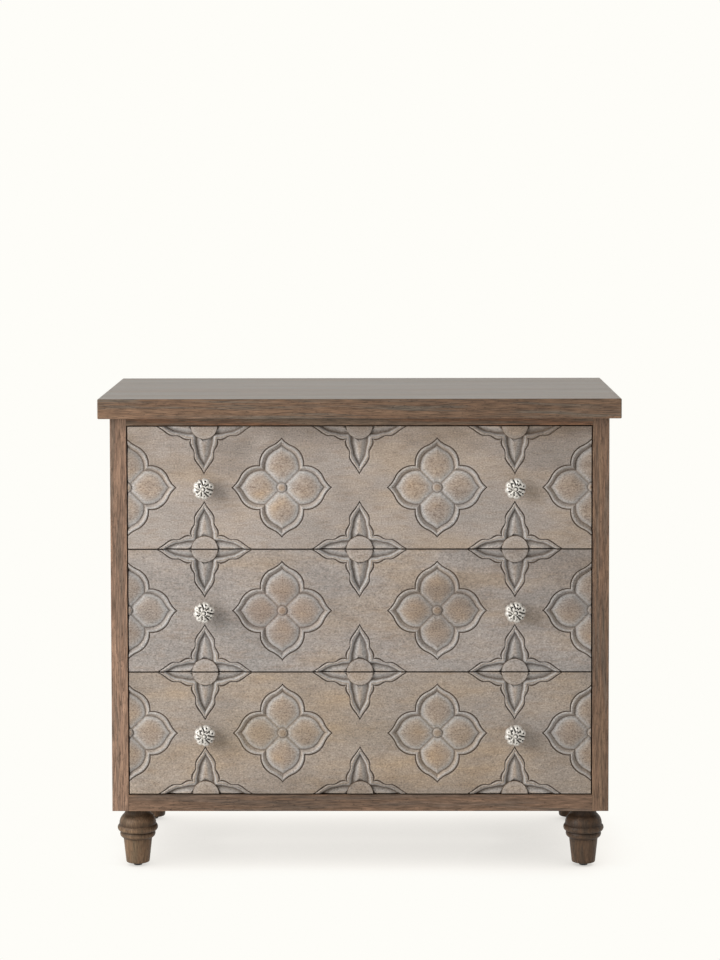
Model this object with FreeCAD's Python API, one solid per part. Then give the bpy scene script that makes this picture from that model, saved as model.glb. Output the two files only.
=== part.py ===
"""Three-drawer chest with carved fronts on turned legs.

The case is a pair of solid sides joined by tenoned rails, with a loose top, a bottom board and a
rabbeted back. Each drawer is a dovetailed box whose carved front is its front board, hung on
hardwood runners that fit grooves in the drawer sides. Millimetres, +Z up, front towards -Y, origin
on the floor under the middle of the bounding box.
"""

import FreeCAD
import Part
import math
import os

V = FreeCAD.Vector

# Overall size
OVERALL_WIDTH = 914.0
TOP_DEPTH = 457.0
OVERALL_HEIGHT = 837.0

# Top board
TOP_THICKNESS = 35.0
TOP_EDGE_RADIUS = 2.0
SIDE_OVERHANG = 19.5
FRONT_OVERHANG = 20.0
BACK_OVERHANG = 20.0

# Case
SIDE_THICKNESS = 29.0
LEG_HEIGHT = 106.0
BOTTOM_RAIL_HEIGHT = 29.0
BOTTOM_RAIL_DEPTH = 30.0
REAR_RAIL_DEPTH = 18.0
TOP_RAIL_THICKNESS = 13.0
TOP_RAIL_DEPTH = 70.0
BOTTOM_BOARD_THICKNESS = 12.0
BOTTOM_BOARD_HOUSING = 8.0
BACK_THICKNESS = 8.0
BACK_RABBET = 10.0
TENON_LENGTH = 18.0
TENON_SHOULDER = 4.0
CASE_EDGE_RADIUS = 1.0

# Legs: the turning's points are a radius and a share of the leg's height
LEG_INSET = 41.0
FOOT_RADIUS = 20.8
FOOT_CHAMFER = 1.5
TAPER_TOP = (25.4, 0.432)
LOW_BEAD_START = (27.4, 0.446)
LOW_BEAD_CROWN = (31.4, 0.508)
BEAD_QUIRK = (30.0, 0.557)
HIGH_BEAD_CROWN = (35.8, 0.620)
BALL_START = (32.6, 0.679)
BALL_SIDE = (30.6, 0.785)
NECK_LOW = (24.6, 0.860)
NECK_WAIST = (22.2, 0.915)
NECK_TOP = (22.6, 1.0)
LEG_BLOCK_SIDE = 60.0
GLIDE_RADIUS = 7.5
GLIDE_HEIGHT = 6.0
GLIDE_EDGE = 0.8
GLIDE_PIN_RADIUS = 1.25
GLIDE_PIN_LENGTH = 14.0
LEG_BOLT_RADIUS = 4.0
LEG_BOLT_IN_LEG = 36.0
LEG_BOLT_IN_BLOCK = 15.0

# Drawers
DRAWER_NAMES = ("lower", "middle", "upper")
DRAWER_GAP = 2.0
FRONT_THICKNESS = 24.0
FRONT_EDGE_RADIUS = 0.6
DRAWER_BACK_CLEARANCE = 22.0
BOX_SIDE_THICKNESS = 15.0
BOX_SIDE_RISE = 10.0
BOX_SIDE_DROP = 17.0
BOX_BACK_THICKNESS = 12.0
BOX_BACK_SETBACK = 8.0
BOX_BACK_HOUSING = 5.0
BOX_BOTTOM_THICKNESS = 6.0
BOX_BOTTOM_GROOVE = 6.0
BOX_BOTTOM_RISE = 8.0
TONGUE_CLEARANCE = 1.0
TAIL_COUNT = 4
TAIL_LENGTH = 14.0
TAIL_WIDE = 30.0
TAIL_NARROW = 25.0

# Runners
RUNNER_HEIGHT = 16.0
RUNNER_HOUSING = 6.0
RUNNER_GROOVE_DEPTH = 8.0
RUNNER_SIDE_CLEARANCE = 0.5
RUNNER_SEAT_CLEARANCE = 0.3
RUNNER_UNDER_CLEARANCE = 0.7
RUNNER_STOP_CLEARANCE = 0.3
RUNNER_FRONT_SETBACK = 12.0
RUNNER_BACK_SETBACK = 20.0

# Knobs
KNOB_RADIUS = 19.0
KNOB_PROJECTION = 31.0
KNOB_RIM = 19.5
KNOB_BACK = 12.0
KNOB_BASE_RADIUS = 9.0
KNOB_BASE_HEIGHT = 2.5
KNOB_NECK_RADIUS = 6.5
KNOB_STEM_FLARE = 2.0
KNOB_HEAD_LIP = 1.0
KNOB_PETALS = 7
KNOB_TURN = 102.0
KNOB_VEIN_WIDTH = 1.5
KNOB_VEIN_START = 7.0
KNOB_VEIN_SINK = 0.6
KNOB_BEAD_RING = 3.6
KNOB_BEAD_GROOVE = 0.9
KNOB_PIT_AT = 15.0
KNOB_PIT_RADIUS = 1.3

# Screws and bolts
KNOB_BOLT_RADIUS = 2.0
KNOB_BOLT_IN_KNOB = 19.0
KNOB_BOLT_HEAD_RADIUS = 4.0
KNOB_BOLT_HEAD_HEIGHT = 2.6
SCREW_RADIUS = 2.2
SCREW_HEAD_RADIUS = 4.4
SCREW_HEAD_HEIGHT = 2.8
TOP_SCREW_BITE = 18.0
RUNNER_SCREW_BITE = 11.0
RUNNER_SCREW_SETBACK = 60.0
BACK_SCREW_BITE = 16.0
BACK_SCREW_MARGIN = 60.0
HOLE_CLEARANCE = 0.15
BOLT_HOLE_CLEARANCE = 0.5

# Carving: a lobe is its notch on the diagonal, the joints of its arcs, its tip and its first bearing
PATTERN_REPEATS = 3
EDGE_FLOWER_OVERRUN = 2.0
FLOWER_OUTLINE = {"notch": 38.5, "joints": [(18.2, 73.3)], "tip": 87.0, "bearing": 84.0}
FLOWER_BAND = {"notch": 34.5, "joints": [(15.6, 69.0)], "tip": 80.5, "bearing": 82.0}
FLOWER_VALLEY = {"notch": 29.8, "joints": [(13.0, 65.0)], "tip": 74.0, "bearing": 79.0}
STAR_OUTLINE = {
    "notch": 21.8,
    "joints": [(24.2, 30.0), (23.0, 36.5), (18.9, 44.5), (17.8, 55.0), (15.0, 63.0)],
    "tip": 82.8,
    "bearing": 72.0,
}
STAR_DISC_RADIUS = 23.0
ARM_POCKET_TOP = {"base": 14.8, "joint": (13.4, 40.0), "tip": 72.5, "bearing": 80.0}
ARM_POCKET_FLOOR = {"base": 12.2, "joint": (10.8, 40.0), "tip": 67.0, "bearing": 80.0}
LINE_WIDTH = 2.6
LINE_FLOOR = 0.5
LINE_DEPTH = 1.9
POCKET_DEPTH = 5.0
PETAL_CENTRE = 41.0
PETAL_REACH = 34.5
PETAL_TOP_DEPTH = 1.0
BOSS_RADIUS = 9.0
BOSS_RISE = 3.0
BOSS_TOP_DEPTH = 0.6
LEAF_RADIUS = 9.5
LEAF_ROOT_DEPTH = 2.2
LEAF_TIP_DEPTH = 3.4
CUT_LEAD = 1.0

# Places worked out from the sizes above
KNOB_REACH = max(0.0, KNOB_PROJECTION - FRONT_OVERHANG)
TOP_FRONT = (KNOB_REACH - TOP_DEPTH) / 2
TOP_BACK = TOP_FRONT + TOP_DEPTH
CASE_FRONT = TOP_FRONT + FRONT_OVERHANG
CASE_BACK = TOP_BACK - BACK_OVERHANG
CASE_HALF = OVERALL_WIDTH / 2 - SIDE_OVERHANG
BAY_HALF = CASE_HALF - SIDE_THICKNESS
CASE_BOTTOM = LEG_HEIGHT
CASE_TOP = OVERALL_HEIGHT - TOP_THICKNESS
BOTTOM_RAIL_TOP = CASE_BOTTOM + BOTTOM_RAIL_HEIGHT
BOTTOM_BOARD_UNDER = BOTTOM_RAIL_TOP - BOTTOM_BOARD_THICKNESS
TOP_RAIL_UNDER = CASE_TOP - TOP_RAIL_THICKNESS
BACK_INNER = CASE_BACK - BACK_THICKNESS
DRAWER_COUNT = len(DRAWER_NAMES)
FRONT_HALF = BAY_HALF - DRAWER_GAP
FRONT_SPACE = TOP_RAIL_UNDER - BOTTOM_RAIL_TOP - (DRAWER_COUNT + 1) * DRAWER_GAP
FRONT_HEIGHT = FRONT_SPACE / DRAWER_COUNT
DRAWER_PITCH = FRONT_HEIGHT + DRAWER_GAP
FRONT_BACK = CASE_FRONT + FRONT_THICKNESS
DRAWER_REAR = BACK_INNER - DRAWER_BACK_CLEARANCE
BOX_INNER = FRONT_HALF - BOX_SIDE_THICKNESS
GROOVE_FRONT = FRONT_BACK + RUNNER_FRONT_SETBACK
RUNNER_FRONT = GROOVE_FRONT + RUNNER_STOP_CLEARANCE
RUNNER_BACK = BACK_INNER - RUNNER_BACK_SETBACK
RUNNER_INNER = FRONT_HALF - RUNNER_GROOVE_DEPTH + RUNNER_SIDE_CLEARANCE
RUNNER_OUTER = BAY_HALF + RUNNER_HOUSING
PATTERN_HALF = FRONT_HALF + EDGE_FLOWER_OVERRUN
PATTERN_PITCH = 2 * PATTERN_HALF / PATTERN_REPEATS
KNOB_X = PATTERN_HALF - PATTERN_PITCH / 2
LEG_X = CASE_HALF - LEG_INSET
LEG_Y = (CASE_FRONT + LEG_INSET, CASE_BACK - LEG_INSET)
SIDES = {"left": -1, "right": 1}
ENDS = {"front": 0, "rear": 1}

parts = {}


def block(x0, x1, y0, y1, z0, z1):
    """A box between two corners, whichever way round the x values come."""
    low = min(x0, x1)
    return Part.makeBox(abs(x1 - x0), y1 - y0, z1 - z0, V(low, y0, z0))


def soften(shape, radius, picks):
    """Rounds the straight edges that picks accepts."""
    edges = [e for e in shape.Edges if picks(e)]
    return shape.makeFillet(radius, edges)


def runs_along(edge, axis):
    """True where a straight edge lies along the axis."""
    if not isinstance(edge.Curve, Part.Line):
        return False
    way = edge.Vertexes[-1].Point - edge.Vertexes[0].Point
    return abs(way.normalize().dot(axis)) > 0.999


def drawer_floor(k):
    """Height of the underside of drawer front k, counted from the lowest."""
    return BOTTOM_RAIL_TOP + DRAWER_GAP + k * DRAWER_PITCH


def runner_floor(k):
    """Height of the underside of the runners of drawer k, at the middle of its box side."""
    box_low = drawer_floor(k) + BOX_SIDE_RISE
    box_high = drawer_floor(k) + FRONT_HEIGHT - BOX_SIDE_DROP
    return (box_low + box_high - RUNNER_HEIGHT) / 2


def headed_pin(head_seat, way, radius, length, head_radius, head_height):
    """A screw or bolt: its shank runs from the head's seat along way, its head stands behind."""
    shank = Part.makeCylinder(radius, length, head_seat, way)
    head = Part.makeCone(head_radius, head_radius * 0.7, head_height, head_seat, way * -1)
    return shank.fuse(head).removeSplitter()


def rail_tenons(x_half, y0, y1, z0, z1):
    """The two stub tenons of a rail, shouldered all round."""
    return [
        block(
            side * x_half,
            side * (x_half + TENON_LENGTH),
            y0 + TENON_SHOULDER,
            y1 - TENON_SHOULDER,
            z0 + TENON_SHOULDER,
            z1 - TENON_SHOULDER,
        )
        for side in SIDES.values()
    ]


# Outlines of the carving


def turned(point, quarters):
    """A point of the pattern turned by quarter turns about the motif's centre."""
    x, z = point
    for _ in range(quarters):
        x, z = -z, x
    return x, z


def arc_chain(points, bearing):
    """Tangent arcs through the points from a first bearing in degrees: centres and signed radii."""
    heading = math.radians(bearing)
    chain = []
    for (x0, z0), (x1, z1) in zip(points, points[1:]):
        chord = math.atan2(z1 - z0, x1 - x0)
        bend = 2 * (chord - heading)
        radius = math.hypot(x1 - x0, z1 - z0) / (2 * math.sin(bend / 2))
        centre = (x0 - radius * math.sin(heading), z0 + radius * math.cos(heading))
        chain.append((centre, radius))
        heading += bend
    return chain


def nearest(values, target):
    return min(values, key=lambda value: abs(value - target))


def on_diagonal(centre, radius, near):
    """Where a circle crosses the line x = z, close to a known crossing."""
    total = centre[0] + centre[1]
    root = math.sqrt(total**2 - 2 * (centre[0] ** 2 + centre[1] ** 2 - radius**2))
    crossing = nearest([(total + root) / 2, (total - root) / 2], near)
    return crossing, crossing


def on_axis(centre, radius, near):
    """Where a circle crosses the line x = 0, close to a known crossing."""
    root = math.sqrt(radius**2 - centre[0] ** 2)
    return 0.0, nearest([centre[1] + root, centre[1] - root], near)


def lobe_side(lobe, offset):
    """The right side of the upward lobe, notch to tip, as (start, middle, end) arcs set off outwards."""
    points = [(lobe["notch"], lobe["notch"]), *lobe["joints"], (0.0, lobe["tip"])]
    chain = arc_chain(points, lobe["bearing"])
    stops = [on_diagonal(chain[0][0], chain[0][1] + offset, lobe["notch"])]
    for (centre, radius), joint in zip(chain, lobe["joints"]):
        grown = (radius + offset) / radius
        stops.append(
            (centre[0] + (joint[0] - centre[0]) * grown, centre[1] + (joint[1] - centre[1]) * grown)
        )
    stops.append(on_axis(chain[-1][0], chain[-1][1] + offset, lobe["tip"]))
    return [
        (start, arc_middle(centre, radius + offset, start, end), end)
        for (centre, radius), start, end in zip(chain, stops, stops[1:])
    ]


def arc_middle(centre, radius, start, end):
    """The point half way along the shorter arc between two points."""
    mid_x = (start[0] + end[0]) / 2 - centre[0]
    mid_z = (start[1] + end[1]) / 2 - centre[1]
    reach = abs(radius) / math.hypot(mid_x, mid_z)
    return centre[0] + mid_x * reach, centre[1] + mid_z * reach


def both_sides(side):
    """A lobe's side followed by its mirror image back down, as arcs in one direction."""
    mirrored = [
        tuple((-x, z) for x, z in (end, middle, start)) for start, middle, end in reversed(side)
    ]
    return [*side, *mirrored]


def arc_wire(arcs, depth):
    """One closed wire of arcs lying at a depth behind the face."""
    edges = [Part.Arc(*[V(x, depth, z) for x, z in arc]).toShape() for arc in arcs]
    return Part.Wire(edges)


def motif_wire(lobe, offset, depth):
    """The closed outline of four lobes."""
    lobe_arcs = both_sides(lobe_side(lobe, offset))
    arcs = [tuple(turned(p, q) for p in arc) for q in range(4) for arc in lobe_arcs]
    return arc_wire(arcs, depth)


def line_cutter(lobe):
    """The incised line along an outline, as a ring with sloping walls and a narrow floor."""
    slope = (LINE_WIDTH - LINE_FLOOR) / 2 / LINE_DEPTH

    def half_width(depth):
        return LINE_FLOOR / 2 + slope * (LINE_DEPTH - depth)

    past = LINE_FLOOR / 2
    outer = Part.makeLoft(
        [motif_wire(lobe, half_width(d), d) for d in (-past, LINE_DEPTH)], True, True
    )
    inner = Part.makeLoft(
        [motif_wire(lobe, -half_width(d), d) for d in (-2 * past, LINE_DEPTH + past)], True, True
    )
    return outer.cut(inner)


def cap_sphere(reach, rise, top_depth, x, z):
    """A ball whose cap of that reach and rise stands with its top at a depth behind the face."""
    radius = (reach**2 + rise**2) / (2 * rise)
    return Part.makeSphere(radius, V(x, top_depth + radius, z))


def flower_cutter():
    """What the carver takes out for one four-petal flower: the outline and the hollow round the petals."""
    hollow = Part.makeLoft(
        [
            motif_wire(FLOWER_BAND, 0, -CUT_LEAD),
            motif_wire(FLOWER_BAND, 0, 0),
            motif_wire(FLOWER_VALLEY, 0, POCKET_DEPTH),
        ],
        True,
        True,
    )
    petal_rise = POCKET_DEPTH - PETAL_TOP_DEPTH
    petals = [
        cap_sphere(PETAL_REACH, petal_rise, PETAL_TOP_DEPTH, *turned((0.0, PETAL_CENTRE), q))
        for q in range(4)
    ]
    boss_foot = POCKET_DEPTH - BOSS_TOP_DEPTH
    boss = Part.makeCylinder(BOSS_RADIUS, boss_foot, V(0, BOSS_TOP_DEPTH, 0), V(0, 1, 0))
    boss = boss.common(cap_sphere(BOSS_RADIUS, BOSS_RISE, BOSS_TOP_DEPTH, 0, 0))
    for land in [*petals, boss]:
        hollow = hollow.cut(land)
    return [line_cutter(FLOWER_OUTLINE), hollow]


def arm_wire(pocket, depth):
    """The outline of one arm's pocket: two bowed sides from the disc to a point, closed along the disc."""
    base = (pocket["base"], math.sqrt(STAR_DISC_RADIUS**2 - pocket["base"] ** 2))
    points = [base, pocket["joint"], (0.0, pocket["tip"])]
    chain = arc_chain(points, pocket["bearing"])
    side = [
        (start, arc_middle(centre, radius, start, end), end)
        for (centre, radius), start, end in zip(chain, points, points[1:])
    ]
    along_disc = ((-base[0], base[1]), (0.0, STAR_DISC_RADIUS), base)
    return arc_wire([*both_sides(side), along_disc], depth)


def star_cutter():
    """What the carver takes out for one star: its outline, the disc's edge line and four arm pockets."""
    pocket = Part.makeLoft(
        [
            arm_wire(ARM_POCKET_TOP, -CUT_LEAD),
            arm_wire(ARM_POCKET_TOP, 0),
            arm_wire(ARM_POCKET_FLOOR, POCKET_DEPTH),
        ],
        True,
        True,
    )
    root = V(0, LEAF_ROOT_DEPTH + LEAF_RADIUS, 0)
    tip = V(0, LEAF_TIP_DEPTH + LEAF_RADIUS, ARM_POCKET_TOP["tip"])
    leaf = Part.makeCylinder(LEAF_RADIUS, (tip - root).Length, root, tip - root)
    pocket = pocket.cut(leaf)
    pockets = []
    for quarter in range(4):
        arm = pocket.copy()
        arm.rotate(V(0, 0, 0), V(0, 1, 0), 90 * quarter)
        pockets.append(arm)
    half = LINE_WIDTH / 2
    section = Part.makePolygon(
        [
            V(STAR_DISC_RADIUS - half, -LINE_FLOOR, 0),
            V(STAR_DISC_RADIUS + half, -LINE_FLOOR, 0),
            V(STAR_DISC_RADIUS + LINE_FLOOR / 2, LINE_DEPTH, 0),
            V(STAR_DISC_RADIUS - LINE_FLOOR / 2, LINE_DEPTH, 0),
            V(STAR_DISC_RADIUS - half, -LINE_FLOOR, 0),
        ]
    )
    disc_line = Part.Face(section).revolve(V(0, 0, 0), V(0, 1, 0), 360)
    return [line_cutter(STAR_OUTLINE), *pockets, disc_line]


# Case


def make_top():
    top = block(
        -OVERALL_WIDTH / 2, OVERALL_WIDTH / 2, TOP_FRONT, TOP_BACK, CASE_TOP, OVERALL_HEIGHT
    )
    return soften(top, TOP_EDGE_RADIUS, lambda edge: True)


def rails():
    """Each rail's plain box limits: half length, depth limits and height limits."""
    top_heights = (TOP_RAIL_UNDER, CASE_TOP)
    low_heights = (CASE_BOTTOM, BOTTOM_RAIL_TOP)
    return {
        "top_front_rail": (BAY_HALF, CASE_FRONT, CASE_FRONT + TOP_RAIL_DEPTH, *top_heights),
        "top_rear_rail": (BAY_HALF, BACK_INNER - TOP_RAIL_DEPTH, BACK_INNER, *top_heights),
        "bottom_front_rail": (BAY_HALF, CASE_FRONT, CASE_FRONT + BOTTOM_RAIL_DEPTH, *low_heights),
        "bottom_rear_rail": (BAY_HALF, BACK_INNER - REAR_RAIL_DEPTH, BACK_INNER, *low_heights),
    }


def top_screw_seats():
    """Seats of the screws that hold the top, on the undersides of the top rails."""
    return [
        V(x, (limits[1] + limits[2]) / 2, TOP_RAIL_UNDER)
        for name, limits in rails().items()
        if name.startswith("top")
        for x in (-BAY_HALF * 2 / 3, 0, BAY_HALF * 2 / 3)
    ]


def make_rails():
    holes = [
        Part.makeCylinder(SCREW_RADIUS + HOLE_CLEARANCE, TOP_RAIL_THICKNESS, seat)
        for seat in top_screw_seats()
    ]
    for name, (half, y0, y1, z0, z1) in rails().items():
        rail = block(-half, half, y0, y1, z0, z1).fuse(rail_tenons(half, y0, y1, z0, z1))
        parts[name] = rail.removeSplitter().cut(holes)


def runner_screw_places():
    """Places of the runner screws along the case's depth."""
    return RUNNER_FRONT + RUNNER_SCREW_SETBACK, RUNNER_BACK - RUNNER_SCREW_SETBACK


def runner_screw_seat(side, k, y):
    """Where a runner screw's head sits, sunk its own height below the runner's face."""
    return V(side * (RUNNER_INNER + SCREW_HEAD_HEIGHT), y, runner_floor(k) + RUNNER_HEIGHT / 2)


def make_runners():
    for k, drawer in enumerate(DRAWER_NAMES):
        for hand, side in SIDES.items():
            z0 = runner_floor(k)
            runner = block(
                side * RUNNER_INNER,
                side * RUNNER_OUTER,
                RUNNER_FRONT,
                RUNNER_BACK,
                z0,
                z0 + RUNNER_HEIGHT,
            )
            for y in runner_screw_places():
                seat = runner_screw_seat(side, k, y)
                way = V(side, 0, 0)
                thick = RUNNER_OUTER - RUNNER_INNER
                head_hole = SCREW_HEAD_RADIUS + HOLE_CLEARANCE
                shank_hole = SCREW_RADIUS + HOLE_CLEARANCE
                runner = runner.cut(
                    [
                        Part.makeCylinder(head_hole, SCREW_HEAD_HEIGHT, seat, way * -1),
                        Part.makeCylinder(shank_hole, thick, seat, way),
                    ]
                )
            parts[f"{drawer}_{hand}_runner"] = runner


def make_runner_screws():
    length = RUNNER_OUTER - RUNNER_INNER - SCREW_HEAD_HEIGHT + RUNNER_SCREW_BITE
    screws = [
        headed_pin(
            runner_screw_seat(side, k, y),
            V(side, 0, 0),
            SCREW_RADIUS,
            length,
            SCREW_HEAD_RADIUS,
            SCREW_HEAD_HEIGHT,
        )
        for k in range(DRAWER_COUNT)
        for side in SIDES.values()
        for y in runner_screw_places()
    ]
    parts["runner_screws"] = Part.Compound(screws)


def make_sides():
    for hand, side in SIDES.items():
        panel = block(
            side * BAY_HALF, side * CASE_HALF, CASE_FRONT, CASE_BACK, CASE_BOTTOM, CASE_TOP
        )
        panel = soften(panel, CASE_EDGE_RADIUS, lambda e: runs_along(e, V(0, 0, 1)))
        rabbet = block(
            side * BAY_HALF,
            side * (BAY_HALF + BACK_RABBET),
            BACK_INNER,
            CASE_BACK,
            CASE_BOTTOM,
            CASE_TOP,
        )
        bottom_housing = block(
            side * BAY_HALF,
            side * (BAY_HALF + BOTTOM_BOARD_HOUSING),
            CASE_FRONT + BOTTOM_RAIL_DEPTH,
            BACK_INNER - REAR_RAIL_DEPTH,
            BOTTOM_BOARD_UNDER,
            BOTTOM_RAIL_TOP,
        )
        cuts = [rabbet, bottom_housing]
        for half, y0, y1, z0, z1 in rails().values():
            cuts += rail_tenons(half, y0, y1, z0, z1)
        for k in range(DRAWER_COUNT):
            z0 = runner_floor(k)
            cuts.append(
                block(
                    side * BAY_HALF,
                    side * RUNNER_OUTER,
                    RUNNER_FRONT,
                    RUNNER_BACK,
                    z0,
                    z0 + RUNNER_HEIGHT,
                )
            )
            for y in runner_screw_places():
                hole_start = V(side * BAY_HALF, y, z0 + RUNNER_HEIGHT / 2)
                hole_length = RUNNER_HOUSING + RUNNER_SCREW_BITE + HOLE_CLEARANCE
                cuts.append(
                    Part.makeCylinder(
                        SCREW_RADIUS + HOLE_CLEARANCE, hole_length, hole_start, V(side, 0, 0)
                    )
                )
        parts[f"{hand}_side_panel"] = panel.cut(cuts)


def make_boards():
    """The bottom board between the low rails, and the back in its rabbets."""
    half = BAY_HALF + BOTTOM_BOARD_HOUSING
    parts["bottom_board"] = block(
        -half,
        half,
        CASE_FRONT + BOTTOM_RAIL_DEPTH,
        BACK_INNER - REAR_RAIL_DEPTH,
        BOTTOM_BOARD_UNDER,
        BOTTOM_RAIL_TOP,
    )
    half = BAY_HALF + BACK_RABBET
    back = block(-half, half, BACK_INNER, CASE_BACK, CASE_BOTTOM, CASE_TOP)
    hole = SCREW_RADIUS + HOLE_CLEARANCE
    parts["back_panel"] = back.cut(
        [Part.makeCylinder(hole, BACK_THICKNESS, seat, V(0, -1, 0)) for seat in back_screw_seats()]
    )


def back_screw_seats():
    """Seats of the back's screws, along the rear rails."""
    low = (CASE_BOTTOM + BOTTOM_RAIL_TOP) / 2
    high = (TOP_RAIL_UNDER + CASE_TOP) / 2
    reach = BAY_HALF - BACK_SCREW_MARGIN
    return [V(x, CASE_BACK, z) for z in (low, high) for x in (-reach, -reach / 3, reach / 3, reach)]


def make_case_screws():
    head = (SCREW_HEAD_RADIUS, SCREW_HEAD_HEIGHT)
    top_length = TOP_RAIL_THICKNESS + TOP_SCREW_BITE
    parts["top_screws"] = Part.Compound(
        [headed_pin(seat, V(0, 0, 1), SCREW_RADIUS, top_length, *head) for seat in top_screw_seats()]
    )
    back_length = BACK_THICKNESS + BACK_SCREW_BITE
    parts["back_screws"] = Part.Compound(
        [headed_pin(s, V(0, -1, 0), SCREW_RADIUS, back_length, *head) for s in back_screw_seats()]
    )
    hole = SCREW_RADIUS + HOLE_CLEARANCE
    top_holes = [
        Part.makeCylinder(hole, top_length + HOLE_CLEARANCE, seat) for seat in top_screw_seats()
    ]
    back_holes = [
        Part.makeCylinder(hole, back_length + HOLE_CLEARANCE, seat, V(0, -1, 0))
        for seat in back_screw_seats()
    ]
    parts["top_board"] = make_top().cut(top_holes)
    for name in ("top_rear_rail", "bottom_rear_rail"):
        parts[name] = parts[name].cut(back_holes)


# Legs


def leg_turning():
    """The turned leg at the origin: tapered foot, two beads, a half ball and a short neck."""

    def at(point):
        return V(point[0], 0, point[1] * LEG_HEIGHT)

    axis_low = V(0, 0, GLIDE_HEIGHT)
    axis_high = V(0, 0, LEG_HEIGHT)
    foot_inner = V(FOOT_RADIUS - FOOT_CHAMFER, 0, GLIDE_HEIGHT)
    foot_outer = V(FOOT_RADIUS, 0, GLIDE_HEIGHT + FOOT_CHAMFER)
    edges = [
        Part.LineSegment(axis_low, foot_inner),
        Part.LineSegment(foot_inner, foot_outer),
        Part.LineSegment(foot_outer, at(TAPER_TOP)),
        Part.LineSegment(at(TAPER_TOP), at(LOW_BEAD_START)),
        Part.Arc(at(LOW_BEAD_START), at(LOW_BEAD_CROWN), at(BEAD_QUIRK)),
        Part.Arc(at(BEAD_QUIRK), at(HIGH_BEAD_CROWN), at(BALL_START)),
        Part.Arc(at(BALL_START), at(BALL_SIDE), at(NECK_LOW)),
        Part.Arc(at(NECK_LOW), at(NECK_WAIST), at(NECK_TOP)),
        Part.LineSegment(at(NECK_TOP), axis_high),
        Part.LineSegment(axis_high, axis_low),
    ]
    profile = Part.Face(Part.Wire([e.toShape() for e in edges]))
    leg = profile.revolve(V(0, 0, 0), V(0, 0, 1), 360)
    bolt_hole = Part.makeCylinder(
        LEG_BOLT_RADIUS + HOLE_CLEARANCE,
        LEG_BOLT_IN_LEG + HOLE_CLEARANCE,
        axis_high,
        V(0, 0, -1),
    )
    pin_hole = Part.makeCylinder(
        GLIDE_PIN_RADIUS + HOLE_CLEARANCE, GLIDE_PIN_LENGTH + HOLE_CLEARANCE, axis_low
    )
    return leg.cut([bolt_hole, pin_hole])


def make_legs():
    turning = leg_turning()
    bolt = Part.makeCylinder(
        LEG_BOLT_RADIUS,
        LEG_BOLT_IN_LEG + LEG_BOLT_IN_BLOCK,
        V(0, 0, LEG_HEIGHT - LEG_BOLT_IN_LEG),
    )
    pad = Part.makeCylinder(GLIDE_RADIUS, GLIDE_HEIGHT)
    pad = pad.makeFillet(GLIDE_EDGE, [e for e in pad.Edges if e.CenterOfMass.z < GLIDE_EDGE / 2])
    pin = Part.makeCylinder(GLIDE_PIN_RADIUS, GLIDE_PIN_LENGTH, V(0, 0, GLIDE_HEIGHT))
    glide = pad.fuse(pin)
    bolts, glides = [], []
    for end, row in ENDS.items():
        for hand, side in SIDES.items():
            place = V(side * LEG_X, LEG_Y[row], 0)
            parts[f"{end}_{hand}_leg"] = turning.translated(place)
            bolts.append(bolt.translated(place))
            glides.append(glide.translated(place))
            parts[f"{end}_{hand}_leg_block"] = make_leg_block(row, side, place)
    parts["leg_bolts"] = Part.Compound(bolts)
    parts["leg_glides"] = Part.Compound(glides)


def make_leg_block(row, side, place):
    """A corner block under the bottom board, between a low rail and a case side."""
    if row == ENDS["front"]:
        y0 = CASE_FRONT + BOTTOM_RAIL_DEPTH
    else:
        y0 = BACK_INNER - REAR_RAIL_DEPTH - LEG_BLOCK_SIDE
    corner = block(
        side * (BAY_HALF - LEG_BLOCK_SIDE),
        side * BAY_HALF,
        y0,
        y0 + LEG_BLOCK_SIDE,
        CASE_BOTTOM,
        BOTTOM_BOARD_UNDER,
    )
    hole = Part.makeCylinder(
        LEG_BOLT_RADIUS + HOLE_CLEARANCE,
        LEG_BOLT_IN_BLOCK + HOLE_CLEARANCE,
        V(place.x, place.y, CASE_BOTTOM),
    )
    return corner.cut(hole)


# Drawers


def side_tails(side, box_low, box_high):
    """The dovetails on the front end of a drawer side."""
    pitch = (box_high - box_low) / TAIL_COUNT
    tails = []
    for i in range(TAIL_COUNT):
        middle = box_low + (i + 0.5) * pitch
        x = side * (FRONT_HALF if side < 0 else BOX_INNER)
        corners = [
            V(x, FRONT_BACK, middle - TAIL_NARROW / 2),
            V(x, FRONT_BACK, middle + TAIL_NARROW / 2),
            V(x, FRONT_BACK - TAIL_LENGTH, middle + TAIL_WIDE / 2),
            V(x, FRONT_BACK - TAIL_LENGTH, middle - TAIL_WIDE / 2),
        ]
        face = Part.Face(Part.makePolygon([*corners, corners[0]]))
        tails.append(face.extrude(V(BOX_SIDE_THICKNESS, 0, 0)))
    return tails


def carve(front, floor):
    """Cuts the repeating pattern into a front: flowers along its middle, stars on its two seams."""
    flower = flower_cutter()
    star = star_cutter()
    cutters = []
    for i in range(PATTERN_REPEATS + 1):
        centre = V(i * PATTERN_PITCH - PATTERN_HALF, CASE_FRONT, floor + FRONT_HEIGHT / 2)
        cutters += [tool.translated(centre) for tool in flower]
    for i in range(PATTERN_REPEATS):
        for seam in (floor - DRAWER_GAP / 2, floor + FRONT_HEIGHT + DRAWER_GAP / 2):
            centre = V((i + 0.5) * PATTERN_PITCH - PATTERN_HALF, CASE_FRONT, seam)
            cutters += [tool.translated(centre) for tool in star]
    for cutter in cutters:
        if cutter.BoundBox.intersect(front.BoundBox):
            front = front.cut(cutter)
    return front


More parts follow.
